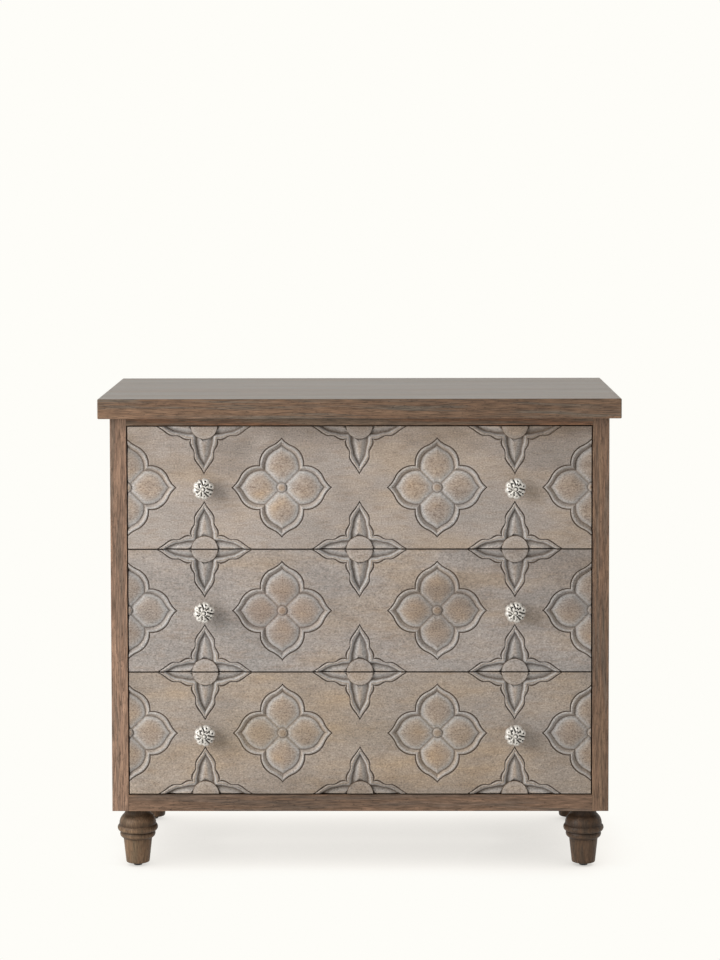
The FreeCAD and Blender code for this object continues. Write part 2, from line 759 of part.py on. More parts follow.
def drawer_pieces():
    """The pieces of one drawer, standing in the lowest place, by their short names."""
    floor = drawer_floor(0)
    box_low = floor + BOX_SIDE_RISE
    box_high = floor + FRONT_HEIGHT - BOX_SIDE_DROP
    panel_low = box_low + BOX_BOTTOM_RISE
    panel_high = panel_low + BOX_BOTTOM_THICKNESS
    tongue_half = BOX_INNER - TONGUE_CLEARANCE
    tongue_front = FRONT_BACK - BOX_BOTTOM_GROOVE
    back_rear = DRAWER_REAR - BOX_BACK_SETBACK
    back_front = back_rear - BOX_BACK_THICKNESS
    back_half = BOX_INNER + BOX_BACK_HOUSING
    groove_half = BOX_INNER + BOX_BOTTOM_GROOVE
    runner_low = runner_floor(0)
    pieces = {}

    front = block(-FRONT_HALF, FRONT_HALF, CASE_FRONT, FRONT_BACK, floor, floor + FRONT_HEIGHT)
    front = soften(front, FRONT_EDGE_RADIUS, lambda e: e.CenterOfMass.y < CASE_FRONT + 0.001)
    front = carve(front, floor)
    tongue = block(-tongue_half, tongue_half, tongue_front, FRONT_BACK, panel_low, panel_high)
    front_cuts = [tongue]
    for hand, side in SIDES.items():
        bolt_start = V(side * KNOB_X, CASE_FRONT, floor + FRONT_HEIGHT / 2)
        bolt_hole = KNOB_BOLT_RADIUS + BOLT_HOLE_CLEARANCE
        front_cuts.append(Part.makeCylinder(bolt_hole, FRONT_THICKNESS, bolt_start, V(0, 1, 0)))
        tails = side_tails(side, box_low, box_high)
        front_cuts += tails
        board = block(
            side * BOX_INNER, side * FRONT_HALF, FRONT_BACK, DRAWER_REAR, box_low, box_high
        )
        runner_groove = block(
            side * (FRONT_HALF - RUNNER_GROOVE_DEPTH),
            side * FRONT_HALF,
            GROOVE_FRONT,
            DRAWER_REAR,
            runner_low - RUNNER_UNDER_CLEARANCE,
            runner_low + RUNNER_HEIGHT + RUNNER_SEAT_CLEARANCE,
        )
        bottom_groove = block(
            side * BOX_INNER, side * groove_half, FRONT_BACK, DRAWER_REAR, panel_low, panel_high
        )
        back_housing = block(
            side * BOX_INNER, side * back_half, back_front, back_rear, panel_high, box_high
        )
        board = board.fuse(tails).removeSplitter()
        pieces[f"{hand}_side"] = board.cut([runner_groove, bottom_groove, back_housing])
    pieces["front"] = front.cut(front_cuts)
    pieces["back"] = block(-back_half, back_half, back_front, back_rear, panel_high, box_high)
    panel = block(-groove_half, groove_half, FRONT_BACK, back_rear, panel_low, panel_high)
    pieces["bottom"] = panel.fuse(tongue).removeSplitter()
    return pieces


def make_drawers():
    pieces = drawer_pieces()
    knob = {"knob": knob_casting(), "knob_stem": knob_stem()}
    for k, drawer in enumerate(DRAWER_NAMES):
        for name, piece in pieces.items():
            parts[f"{drawer}_drawer_{name}"] = piece.translated(V(0, 0, k * DRAWER_PITCH))
        make_knobs(k, drawer, knob)


# Knobs


def spun(edges):
    """A solid turned about the knob's axis from a closed run of edges."""
    profile = Part.Face(Part.Wire([e.toShape() for e in edges]))
    return profile.revolve(V(0, 0, 0), V(0, 1, 0), 360)


def knob_stem():
    """The turned stem facing -Y from the origin: a small foot and a plain neck, bored for the bolt."""
    foot_edge = V(KNOB_BASE_RADIUS, -KNOB_BASE_HEIGHT, 0)
    neck_low = V(KNOB_NECK_RADIUS, -(KNOB_BASE_HEIGHT + KNOB_STEM_FLARE), 0)
    neck_high = V(KNOB_NECK_RADIUS, -KNOB_BACK, 0)
    stem = spun(
        [
            Part.LineSegment(V(0, 0, 0), V(KNOB_BASE_RADIUS, 0, 0)),
            Part.LineSegment(V(KNOB_BASE_RADIUS, 0, 0), foot_edge),
            Part.LineSegment(foot_edge, neck_low),
            Part.LineSegment(neck_low, neck_high),
            Part.LineSegment(neck_high, V(0, -KNOB_BACK, 0)),
            Part.LineSegment(V(0, -KNOB_BACK, 0), V(0, 0, 0)),
        ]
    )
    return stem.cut(Part.makeCylinder(KNOB_BOLT_RADIUS + HOLE_CLEARANCE, KNOB_BACK, V(0, 0, 0), V(0, -1, 0)))


def knob_casting():
    """The cast head in front of the stem: a dome cut into petals round a bead, bored for the bolt."""
    back = V(0, -KNOB_BACK, 0)
    back_edge = V(KNOB_NECK_RADIUS + KNOB_HEAD_LIP, -KNOB_BACK, 0)
    under = V((back_edge.x + KNOB_RADIUS) / 2 + 2, -(KNOB_BACK + 2), 0)
    rim = V(KNOB_RADIUS, -KNOB_RIM, 0)
    crown = V(0, -KNOB_PROJECTION, 0)
    rise = KNOB_PROJECTION - KNOB_RIM
    dome = (KNOB_RADIUS**2 + rise**2) / (2 * rise)
    lean = math.asin(KNOB_RADIUS / dome) / 2
    shoulder = V(dome * math.sin(lean), dome * (1 - math.cos(lean)) - KNOB_PROJECTION, 0)
    head = spun(
        [
            Part.LineSegment(back, back_edge),
            Part.Arc(back_edge, under, rim),
            Part.Arc(rim, shoulder, crown),
            Part.LineSegment(crown, back),
        ]
    )
    ring_middle = V(0, dome_height(dome, KNOB_BEAD_RING), 0)
    bolt_bite = KNOB_BOLT_IN_KNOB - KNOB_BACK + HOLE_CLEARANCE
    cuts = [
        Part.makeTorus(KNOB_BEAD_RING, KNOB_BEAD_GROOVE, ring_middle, V(0, -1, 0)),
        Part.makeCylinder(KNOB_BOLT_RADIUS + HOLE_CLEARANCE, bolt_bite, back, V(0, -1, 0)),
    ]
    for i in range(KNOB_PETALS):
        turn = -KNOB_TURN - 360 * i / KNOB_PETALS
        cuts.append(vein_cutter(dome, turn))
        cuts.append(pit_cutter(dome, turn + 180 / KNOB_PETALS))
    return head.cut(cuts)


def dome_height(dome, radius):
    """Where the dome's face lies at a radius from the knob's axis."""
    return dome - math.sqrt(dome**2 - radius**2) - KNOB_PROJECTION


def vein_cutter(dome, turn):
    """A slot between two petals: it runs straight from near the bead to the rim, under the dome."""
    start_y = dome_height(dome, KNOB_VEIN_START)
    start = V(KNOB_VEIN_START, start_y + KNOB_VEIN_SINK, -KNOB_VEIN_WIDTH / 2)
    end = V(KNOB_RADIUS, -KNOB_RIM + KNOB_VEIN_SINK, -KNOB_VEIN_WIDTH / 2)
    past = end + (end - start) * 0.2
    lift = V(0, -KNOB_RADIUS, 0)
    outline = Part.makePolygon([start, past, past + lift, start + lift, start])
    slot = Part.Face(outline).extrude(V(0, 0, KNOB_VEIN_WIDTH))
    slot.rotate(V(0, 0, 0), V(0, 1, 0), turn)
    return slot


def pit_cutter(dome, turn):
    """A round pit in a petal, near the rim."""
    pit = Part.makeSphere(KNOB_PIT_RADIUS, V(KNOB_PIT_AT, dome_height(dome, KNOB_PIT_AT), 0))
    pit.rotate(V(0, 0, 0), V(0, 1, 0), turn)
    return pit


def make_knobs(k, drawer, knob):
    height = drawer_floor(k) + FRONT_HEIGHT / 2
    bolts = []
    for hand, side in SIDES.items():
        place = V(side * KNOB_X, CASE_FRONT, height)
        for name, piece in knob.items():
            parts[f"{drawer}_{hand}_{name}"] = piece.translated(place)
        bolts.append(
            headed_pin(
                V(place.x, FRONT_BACK, height),
                V(0, -1, 0),
                KNOB_BOLT_RADIUS,
                FRONT_THICKNESS + KNOB_BOLT_IN_KNOB,
                KNOB_BOLT_HEAD_RADIUS,
                KNOB_BOLT_HEAD_HEIGHT,
            )
        )
    parts[f"{drawer}_knob_bolts"] = Part.Compound(bolts)


def build():
    make_rails()
    make_runners()
    make_runner_screws()
    make_sides()
    make_boards()
    make_case_screws()
    make_legs()
    make_drawers()
    os.makedirs("parts", exist_ok=True)
    for name, shape in parts.items():
        shape.exportStep(f"parts/{name}.step")
        print(name, len(shape.Solids), "valid" if shape.isValid() else "NOT VALID", round(shape.Volume))


build()
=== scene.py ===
import bmesh
import bpy
import math
from mathutils import Matrix, Vector, noise


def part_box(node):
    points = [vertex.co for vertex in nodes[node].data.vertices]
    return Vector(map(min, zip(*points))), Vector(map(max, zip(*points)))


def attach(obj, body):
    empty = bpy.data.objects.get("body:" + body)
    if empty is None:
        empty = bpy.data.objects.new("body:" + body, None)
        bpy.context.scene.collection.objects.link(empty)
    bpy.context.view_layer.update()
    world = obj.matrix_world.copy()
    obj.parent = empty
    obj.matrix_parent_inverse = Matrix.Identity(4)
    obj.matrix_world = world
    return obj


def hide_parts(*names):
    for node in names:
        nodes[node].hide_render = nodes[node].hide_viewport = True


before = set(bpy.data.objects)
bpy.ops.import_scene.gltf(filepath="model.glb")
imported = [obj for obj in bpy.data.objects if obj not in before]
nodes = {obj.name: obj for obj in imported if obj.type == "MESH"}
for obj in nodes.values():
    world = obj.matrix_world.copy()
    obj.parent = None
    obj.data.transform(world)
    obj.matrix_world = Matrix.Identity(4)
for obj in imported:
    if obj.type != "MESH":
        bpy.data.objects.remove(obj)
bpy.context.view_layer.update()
scene = bpy.context.scene
scene.view_settings.view_transform = "Standard"
drawerNames = ["lower", "middle", "upper"]
mm = 0.001
hair = 1e-5  # metres: places closer than this are the same
print("frame loaded with", len(nodes), "nodes")


# camera: fitted to the top, case, seams and feet of the photograph
viewSetup = {
    "place": (0.0388, -4.786, 1.2376),
    "pitchDown": 3.02,
    "turnLeft": 0.46,
    "roll": 0.124,
    "lens": 98.589,
    "sensor": 36.0,
    "shiftY": -0.18,
    "farthest": 60.0,
}
camera = bpy.data.objects.new("camera", bpy.data.cameras.new("camera"))
camera.location = viewSetup["place"]
camera.rotation_euler = [math.radians(angle) for angle in (
    90 - viewSetup["pitchDown"], viewSetup["roll"], viewSetup["turnLeft"])]
camera.data.lens = viewSetup["lens"]
camera.data.sensor_width = viewSetup["sensor"]
camera.data.shift_y = viewSetup["shiftY"]
camera.data.clip_end = viewSetup["farthest"]
scene.collection.objects.link(camera)
scene.camera = camera


def toLinear(hexCode):
    parts = [int(hexCode[i:i + 2], 16) / 255 for i in (1, 3, 5)]
    return (*[p / 12.92 if p <= 0.04045 else ((p + 0.055) / 1.055) ** 2.4 for p in parts], 1.0)


def addNode(tree, kind, inputs=None, stops=None, **settings):
    node = tree.nodes.new(kind)
    for name, value in settings.items():
        setattr(node, name, value)
    for name, value in (inputs or {}).items():
        if isinstance(value, bpy.types.NodeSocket):
            tree.links.new(value, node.inputs[name])
        else:
            node.inputs[name].default_value = value
    for i, (place, colour) in enumerate(stops or []):
        dots = node.color_ramp.elements
        dot = dots[i] if i < len(dots) else dots.new(place)
        dot.position = place
        dot.color = colour if len(colour) == 4 else (*colour, 1.0)
    return node


def freshMaterial(name):
    material = bpy.data.materials.new(name)
    material.use_nodes = True
    material.node_tree.nodes.clear()
    return material, material.node_tree


def grey(value):
    return (value, value, value, 1.0)


# studio: a white backdrop behind, a soft ceiling, a dimmer room in front, one soft key from the left
studio = {
    "cream": "#fefdf8",
    "backdropLight": (0.64, 0.70, 0.72),  # a cool white bounce from behind
    "ceilingLevel": 0.55,    # added to the room overhead
    "roomLevel": 0.225,
    "floorPaint": 0.8,
    "floorHalf": 20.0,
    "shadeReach": 0.2,       # about twice the clearance under the case, so the shade stays under it
    "shadeLight": [(0.0, 0.5), (0.3, 0.77), (0.62, 0.96), (0.74, 1.0)],
    "shadeTint": (1.0, 0.98, 0.975),  # the shade is a little warm, from the wood above it
    "shadeLean": 0.05,       # the side away from the key is a little deeper
    "leanReach": 0.45,       # half the case, over which the lean turns
    "keyPlace": (-2.6, -1.9, 1.6),
    "keyAim": (0.0, -0.2, 0.45),
    "keySize": 1.9,
    "keyWatts": 97,
}


def seenRays(tree):
    # 1 for what the camera, gloss and glass see, which is the white backdrop, and 0 for light on the chest
    path = addNode(tree, "ShaderNodeLightPath")
    seen = path.outputs["Is Camera Ray"]
    for kind in ("Is Glossy Ray", "Is Transmission Ray"):
        seen = addNode(tree, "ShaderNodeMath", {0: seen, 1: path.outputs[kind]},
                       operation="MAXIMUM").outputs[0]
    return seen


def makeStudio():
    world = bpy.data.worlds.new("studioDome")
    scene.world = world
    world.use_nodes = True
    tree = world.node_tree
    tree.nodes.clear()
    way = addNode(tree, "ShaderNodeTexCoord")
    axes = addNode(tree, "ShaderNodeSeparateXYZ", {0: way.outputs["Generated"]})
    walls = addNode(tree, "ShaderNodeValToRGB", {"Fac": axes.outputs["Y"]}, stops=[
        (0.1, grey(studio["roomLevel"])), (0.75, studio["backdropLight"])])
    ceiling = addNode(tree, "ShaderNodeValToRGB", {"Fac": axes.outputs["Z"]}, stops=[
        (0.25, grey(0)), (0.85, grey(studio["ceilingLevel"]))])
    total = addNode(tree, "ShaderNodeMix", {0: 1.0, 6: walls.outputs[0], 7: ceiling.outputs[0]},
                    data_type="RGBA", blend_type="ADD")
    room = addNode(tree, "ShaderNodeBackground", {"Color": total.outputs[2], "Strength": 1.0})
    drop = addNode(tree, "ShaderNodeBackground", {"Color": toLinear(studio["cream"]), "Strength": 1.0})
    both = addNode(tree, "ShaderNodeMixShader", {0: seenRays(tree), 1: room.outputs[0], 2: drop.outputs[0]})
    addNode(tree, "ShaderNodeOutputWorld", {"Surface": both.outputs[0]})

    # the floor is seen as the backdrop's cream, shaded where the case closes it off from above
    material, tree = freshMaterial("paintedStudioFloor")
    paint = addNode(tree, "ShaderNodeBsdfDiffuse", {"Color": grey(studio["floorPaint"])})
    openness = addNode(tree, "ShaderNodeAmbientOcclusion", {"Distance": studio["shadeReach"]}, samples=16)
    spot = addNode(tree, "ShaderNodeTexCoord")
    axes = addNode(tree, "ShaderNodeSeparateXYZ", {0: spot.outputs["Object"]})
    lean = addNode(tree, "ShaderNodeMapRange", {
        "Value": axes.outputs["X"], "From Min": -studio["leanReach"], "From Max": studio["leanReach"],
        "To Min": studio["shadeLean"], "To Max": -studio["shadeLean"]})
    tilted = addNode(tree, "ShaderNodeMath", {0: openness.outputs["AO"], 1: lean.outputs[0]}, operation="ADD")
    cream = toLinear(studio["cream"])[:3]
    shades = [(place, [c * level * (tint if level < 1 else 1) for c, tint in zip(cream, studio["shadeTint"])])
              for place, level in studio["shadeLight"]]
    light = addNode(tree, "ShaderNodeValToRGB", {"Fac": tilted.outputs[0]}, stops=shades)
    glow = addNode(tree, "ShaderNodeEmission", {"Color": light.outputs[0], "Strength": 1.0})
    both = addNode(tree, "ShaderNodeMixShader", {0: seenRays(tree), 1: paint.outputs[0], 2: glow.outputs[0]})
    addNode(tree, "ShaderNodeOutputMaterial", {"Surface": both.outputs[0]})
    mesh = bpy.data.meshes.new("studioFloor")
    bm = bmesh.new()
    bmesh.ops.create_grid(bm, x_segments=1, y_segments=1, size=studio["floorHalf"])
    bm.to_mesh(mesh)
    bm.free()
    mesh.materials.append(material)
    floor = bpy.data.objects.new("studioFloor", mesh)
    scene.collection.objects.link(floor)

    lamp = bpy.data.lights.new("keySoftbox", "AREA")
    lamp.size = studio["keySize"]
    lamp.energy = studio["keyWatts"]
    key = bpy.data.objects.new("keySoftbox", lamp)
    key.location = studio["keyPlace"]
    aim = Vector(studio["keyAim"]) - key.location
    key.rotation_euler = aim.to_track_quat("-Z", "Y").to_euler()
    scene.collection.objects.link(key)
    print("studio ready")


# the carving, in millimetres from a motif's centre: x across, z up, depth into the wood
flowerShape = {
    "outline": {"points": [(38.5, 38.5), (18.2, 73.3), (0, 87.0)], "bearing": 84.0, "steps": [18, 10]},
    "valley": {"points": [(29.8, 29.8), (13.0, 65.0), (0, 74.0)], "bearing": 79.0, "steps": [18, 10]},
    "petalMiddle": 41.0, "petalSlimmer": 1.0,
    "boss": 8.3, "bossTop": 0.6, "bossSteps": 6,
    "seamDeep": 4.6, "seamSteps": 8,
}
starShape = {
    "outline": {"points": [(22.8, 22.8), (24.3, 27.2), (23.7, 32.6), (21.4, 37.6), (18.3, 42.6), (17.2, 47.6),
                           (17.4, 53.2), (16.5, 58.4), (13.0, 64.6), (8.5, 70.6), (4.6, 76.2), (0, 84.0)],
                "steps": [5, 4, 4, 5, 5, 4, 4, 4, 5, 5, 5]},
    "pocket": {"points": [(13.4, 19.18), (13.9, 27.5), (12.7, 35.5), (11.0, 42.0), (10.4, 47.5), (8.4, 53.5),
                          (5.0, 60.5), (0, 68.5)],
               "steps": [7, 7, 6, 6, 6, 6, 7]},
    "disc": 23.4, "discSteps": 7,
    "pocketDeep": 5.4, "shoulder": 0.34,  # the share of the depth left in the corner between two arms
    "leafMiddle": 36.0, "leafSlimmer": 0.4,
}
# across the border of a motif: share of the way from outline to valley, depth, chalk, dark line (painted
# shade in the cut and the valley), rubbed
flowerBorder = [
    (-0.50, 0.00, 0.0, 0.0, 0.0),
    (-0.24, 0.00, 0.0, 0.0, 0.0),
    (-0.16, 0.05, 0.3, 0.0, 0.0),
    (-0.10, 0.40, 0.0, 0.65, 0.0),
    (-0.02, 1.90, 0.0, 1.0, 0.0),
    (0.04, 1.90, 0.0, 1.0, 0.0),
    (0.11, 1.00, 0.0, 0.4, 0.2),
    (0.19, 0.40, 0.7, 0.0, 0.2),
    (0.27, 0.08, 0.45, 0.0, 0.3),
    (0.35, 0.00, 0.5, 0.0, 0.3),
    (0.43, 0.30, 0.6, 0.0, 0.3),
    (0.54, 1.20, 0.3, 0.0, 0.45),
    (0.68, 2.60, 0.2, 0.0, 0.45),
    (0.82, 4.00, 0.2, 0.22, 0.0),
    (0.93, 4.90, 0.15, 0.5, 0.0),
    (1.00, 5.10, 0.1, 0.7, 0.0),
]
starBorder = [
    (-0.45, 0.00, 0.0, 0.0, 0.0),
    (-0.22, 0.00, 0.0, 0.0, 0.0),
    (-0.15, 0.05, 0.3, 0.0, 0.0),
    (-0.10, 0.40, 0.0, 0.65, 0.0),
    (-0.02, 1.90, 0.0, 1.0, 0.0),
    (0.04, 1.90, 0.0, 1.0, 0.0),
    (0.12, 1.00, 0.0, 0.4, 0.2),
    (0.20, 0.40, 0.8, 0.0, 0.2),
    (0.28, 0.08, 0.2, 0.0, 0.5),
    (0.36, 0.00, 0.1, 0.08, 0.6),
    (0.48, 0.25, 0.2, 0.08, 0.5),
    (0.61, 0.80, 0.8, 0.0, 0.0),
    (0.75, 2.30, 0.5, 0.15, 0.0),
    (0.89, 4.20, 0.4, 0.5, 0.0),
    (1.00, 5.40, 0.3, 0.85, 0.0),
]
# up a petal from its edge to its middle: size, depth, chalk, dark line (painted shade at the petal's foot),
# rubbed
petalProfile = [
    (0.98, 4.70, 0.2, 0.48, 0.0),
    (0.94, 4.10, 0.5, 0.18, 0.0),
    (0.88, 3.45, 0.6, 0.0, 0.1),
    (0.79, 2.65, 0.35, 0.0, 0.4),
    (0.66, 1.80, 0.15, 0.0, 0.7),
    (0.50, 1.15, 0.05, 0.0, 0.85),
    (0.33, 0.80, 0.0, 0.0, 0.9),
    (0.15, 0.65, 0.0, 0.0, 0.9),
]
leafProfile = [
    (0.94, 5.45, 0.3, 0.7, 0.0),
    (0.80, 5.30, 0.5, 0.5, 0.0),
    (0.64, 4.70, 0.5, 0.25, 0.1),
    (0.46, 3.60, 0.5, 0.05, 0.2),
    (0.27, 2.60, 0.3, 0.0, 0.5),
    (0.10, 2.20, 0.1, 0.0, 0.9),
]
# the dark line is painted shade, laid along the cuts and into the valleys
carvedLooks = ["chalk", "line", "rubbed"]
# the seed holds the wander the same on every run, as it would follow the clock without one
handWork = {"seed": 4, "wander": 0.55, "wanderSpan": 34.0, "deeper": 0.35, "deeperSpan": 60.0}
noise.seed_set(handWork["seed"])


def arcPoints(line):
    # tangent arcs through the points, starting on a bearing, read off in even steps
    heading = math.radians(line["bearing"])
    found = [Vector((line["points"][0][0], line["points"][0][1]))]
    for (x0, z0), (x1, z1), steps in zip(line["points"], line["points"][1:], line["steps"]):
        bend = 2 * (math.atan2(z1 - z0, x1 - x0) - heading)
        radius = math.hypot(x1 - x0, z1 - z0) / (2 * math.sin(bend / 2))
        cx, cz = x0 - radius * math.sin(heading), z0 + radius * math.cos(heading)
        for k in range(1, steps + 1):
            h = heading + bend * k / steps
            found.append(Vector((cx + radius * math.sin(h), cz - radius * math.cos(h))))
        heading += bend
    return found


def smoothPoints(line):
    # a smooth curve through the points, mirrored past its ends
    found = [Vector(p) for p in line["points"]]
    spots = [found[0] * 2 - found[1]] + found + [found[-1] * 2 - found[-2]]
    run = [found[0]]
    for a, b, c, d, steps in zip(spots, spots[1:], spots[2:], spots[3:], line["steps"]):
        for k in range(1, steps + 1):
            t = k / steps
            run.append(0.5 * (2 * b + (c - a) * t + (2 * a - 5 * b + 4 * c - d) * t ** 2
                              + (3 * b - a - 3 * c + d) * t ** 3))
    return run


def onCircle(radius, angles):
    return [Vector((radius * math.sin(a), radius * math.cos(a))) for a in angles]


def startChain(bm, count):
    chain = [bm.verts.new() for _ in range(count)]
    for a, b in zip(chain, chain[1:]):
        bm.edges.new((a, b))
    return chain


def growChain(bm, chain):
    # extrudes a run of edges once and gives the new run in the same order
    edges = [bm.edges.get((a, b)) for a, b in zip(chain, chain[1:])]
    grown = bmesh.ops.extrude_edge_only(bm, edges=edges)["geom"]
    fresh = {g for g in grown if isinstance(g, bmesh.types.BMVert)}
    return [next(e.other_vert(v) for e in v.link_edges if e.other_vert(v) in fresh) for v in chain]


def markVert(bm, vert, place, depth, *looks):
    vert.co = (place[0] * mm, depth * mm, place[1] * mm)
    for name, value in zip(carvedLooks, looks):
        vert[bm.verts.layers.float[name]] = value


def settleOrder(bm):
    # mesh operators list new edges and faces in no fixed order, so these are sorted by vertex number
    bm.verts.index_update()
    count = len(bm.verts)

    def rank(element):
        a, b, *more = sorted((v.index for v in element.verts), reverse=True)
        return a + count * (b + count * (more[0] if more else 0))

    bm.edges.sort(key=rank)
    bm.faces.sort(key=rank)


def startCarving():
    bm = bmesh.new()
    for name in carvedLooks:
        bm.verts.layers.float.new(name)
    return bm


def carveBorder(bm, profile, outer, inner, weights):
    chain = startChain(bm, len(outer))
    for row, (share, depth, *looks) in enumerate(profile):
        if row:
            chain = growChain(bm, chain)
        for vert, a, b, weight in zip(chain, outer, inner, weights):
            sunk = depth * weight if share > 0.45 else depth
            markVert(bm, vert, a.lerp(b, share), sunk, *looks)
    return chain


def extendChain(bm, chain, places, depth, *looks):
    for place in places:
        vert = bm.verts.new()
        markVert(bm, vert, place, depth, *looks)
        bm.edges.new((chain[-1], vert))
        chain.append(vert)
    return chain


def raiseMound(bm, chain, middle, profile, slimmer):
    # shrinks an edge run towards a middle point while it rises, and closes it there
    edge = [Vector((v.co.x / mm, v.co.z / mm)) for v in chain]
    foot = [v.co.y / mm for v in chain]
    floor = max(foot)
    for size, depth, *looks in profile:
        chain = growChain(bm, chain)
        for vert, place, low in zip(chain, edge, foot):
            spot = Vector((place.x * size, middle + (place.y - middle) * size ** slimmer))
            markVert(bm, vert, spot, min(depth, low * depth / floor + 0.2), *looks)
    bmesh.ops.pointmerge(bm, verts=chain, merge_co=(0, profile[-1][1] * mm, middle * mm))


def raiseBoss(bm, chain, profile):
    for size, depth, *looks in profile:
        spots = [Vector((v.co.x / mm, v.co.z / mm)).normalized() * size for v in chain]
        chain = growChain(bm, chain)
        for vert, spot in zip(chain, spots):
            markVert(bm, vert, spot, depth, *looks)
    bmesh.ops.pointmerge(bm, verts=chain, merge_co=(0, profile[-1][1] * mm, 0))


def wholeMotif(bm, name):
    # an eighth becomes a lobe by mirror, and the motif by quarter turns
    bmesh.ops.mirror(bm, geom=bm.verts[:] + bm.edges[:] + bm.faces[:], matrix=Matrix(),
                     merge_dist=1e-6, axis="X")
    bmesh.ops.spin(bm, geom=bm.verts[:] + bm.edges[:] + bm.faces[:], axis=(0, 1, 0),
                   angle=math.radians(270), steps=3, use_duplicate=True)
    bmesh.ops.remove_doubles(bm, verts=bm.verts[:], dist=2e-5)
    settleOrder(bm)
    mesh = bpy.data.meshes.new(name)
    bm.to_mesh(mesh)
    bm.free()
    return mesh


def carveFlower():
    bm = startCarving()
    outer = arcPoints(flowerShape["outline"])
    inner = arcPoints(flowerShape["valley"])
    chain = carveBorder(bm, flowerBorder, outer, inner, [1.0] * len(outer))
    boss, bossSteps = flowerShape["boss"], flowerShape["bossSteps"]
    bossEdge = onCircle(boss, [math.radians(45 - 45 * k / bossSteps) for k in range(bossSteps + 1)])
    seamSteps = flowerShape["seamSteps"]
    seam = [inner[0].lerp(bossEdge[0], k / seamSteps) for k in range(1, seamSteps + 1)]
    petal = extendChain(bm, chain[::-1], seam + bossEdge[1:], flowerShape["seamDeep"], 0.5, 0.15, 0.0)
    bossChain = petal[-bossSteps - 1:]
    raiseMound(bm, petal, flowerShape["petalMiddle"], petalProfile, flowerShape["petalSlimmer"])
    top = flowerShape["bossTop"]
    raiseBoss(bm, bossChain, [
        (boss - 0.15, 3.6, 0.2, 0.45, 0.0), (boss - 0.5, 2.3, 0.4, 0.1, 0.0),
        (boss * 0.8, top + 0.9, 0.3, 0.0, 0.5), (boss * 0.55, top + 0.3, 0.0, 0.0, 1.0),
        (boss * 0.28, top, 0.0, 0.0, 1.0)])
    return wholeMotif(bm, "flowerStamp")


def carveStar():
    bm = startCarving()
    outer = smoothPoints(starShape["outline"])
    pocket = smoothPoints(starShape["pocket"])
    disc, discSteps, shallow = starShape["disc"], starShape["discSteps"], starShape["shoulder"]
    corner = math.radians(45)
    base = math.atan2(pocket[0].x, pocket[0].y)
    alongDisc = len(outer) - len(pocket)
    rim = onCircle(disc, [corner + (base - corner) * k / alongDisc for k in range(alongDisc)])
    weights = [shallow + (1 - shallow) * (k / alongDisc) ** 1.5 for k in range(alongDisc)]
    chain = carveBorder(bm, starBorder, outer, rim + pocket, weights + [1.0] * len(pocket))
    across = onCircle(disc, [base * (1 - k / discSteps) for k in range(1, discSteps + 1)])
    leaf = extendChain(bm, chain[:alongDisc - 1:-1], across, starShape["pocketDeep"], 0.0, 0.9, 0.0)
    discChain = chain[:alongDisc] + leaf[len(pocket) - 1:]
    raiseMound(bm, leaf, starShape["leafMiddle"], leafProfile, starShape["leafSlimmer"])
    raiseBoss(bm, discChain, [
        (disc - 0.25, 0.7, 0.0, 0.9, 0.0), (disc - 0.6, 0.2, 0.0, 0.2, 0.3), (disc - 1.6, 0.0, 0.3, 0.0, 0.5),
        (disc * 0.6, 0.0, 0.1, 0.0, 0.5), (disc * 0.25, 0.0, 0.1, 0.0, 0.5)])
    return wholeMotif(bm, "starStamp")


def handMoved(place):
    # the small wander of a hand-held gouge
    spot = place / mm
    sway = noise.noise_vector(spot / handWork["wanderSpan"]) * handWork["wander"]
    dig = 1 + noise.noise(spot / handWork["deeperSpan"] + Vector((7, 3, 1))) * handWork["deeper"]
    return Vector((spot.x + sway.x, spot.y * dig, spot.z + sway.z)) * mm


# the sheet reaches past the fronts by its margin, and the outer motifs are cut through
patternSheet = {"stars": 3, "flowers": 4, "margin": 120.0}


def carvePattern(flower, star, low, high, pitch, step):
    # the whole repeating pattern on one sheet, in place, before it is sawn into fronts
    bm = startCarving()
    middle = (low.x + high.x) / 2
    tall = high.z - low.z
    rows, stars, flowers = len(drawerNames), patternSheet["stars"], patternSheet["flowers"]
    places = []
    for row in range(rows + 1):
        seam = low.z + row * pitch - (pitch - tall) / 2
        places += [(star, middle + (i - (stars - 1) / 2) * step, seam) for i in range(stars)]
        if row < rows:
            places += [(flower, middle + (i - (flowers - 1) / 2) * step, low.z + row * pitch + tall / 2)
                       for i in range(flowers)]
    for stamp, x, z in places:
        before = len(bm.verts)
        bm.from_mesh(stamp)
        bm.verts.ensure_lookup_table()
        for vert in bm.verts[before:]:
            vert.co = handMoved(vert.co + Vector((x, 0, z)))
    margin = patternSheet["margin"] * mm
    left, right = low.x - margin, high.x + margin
    bottom, top = low.z - margin, low.z + rows * pitch + margin
    corners = [bm.verts.new((x, 0, z)) for x, z in (
        (left, bottom), (right, bottom), (right, top), (left, top))]
    for a, b in zip(corners, corners[1:] + corners[:1]):
        bm.edges.new((a, b))
    openEdges = [e for e in bm.edges if e.is_boundary or e.is_wire]
    bmesh.ops.triangle_fill(bm, use_beauty=True, use_dissolve=False, edges=openEdges, normal=(0, -1, 0))
    bmesh.ops.translate(bm, verts=bm.verts[:], vec=(0, low.y, 0))
    mesh = bpy.data.meshes.new("patternSheet")
    bm.to_mesh(mesh)
    bm.free()
    print("pattern sheet carved:", len(mesh.polygons), "faces")
    return mesh


# a drawer front: eased edges, a carved skin, and pins behind it between the tails of the drawer sides
frontBoard = {"arris": 0.6, "edgeStain": 0.7, "skin": 10.0, "tails": 4, "tailWide": 30.0, "tailNarrow": 25.0,
              "boxRise": 10.0, "boxDrop": 17.0, "boxSide": 15.0}


def growRim(bm):
    # extrudes the open rim once and gives its new vertices
    grown = bmesh.ops.extrude_edge_only(bm, edges=[e for e in bm.edges if e.is_boundary])["geom"]
    return [g for g in grown if isinstance(g, bmesh.types.BMVert)]


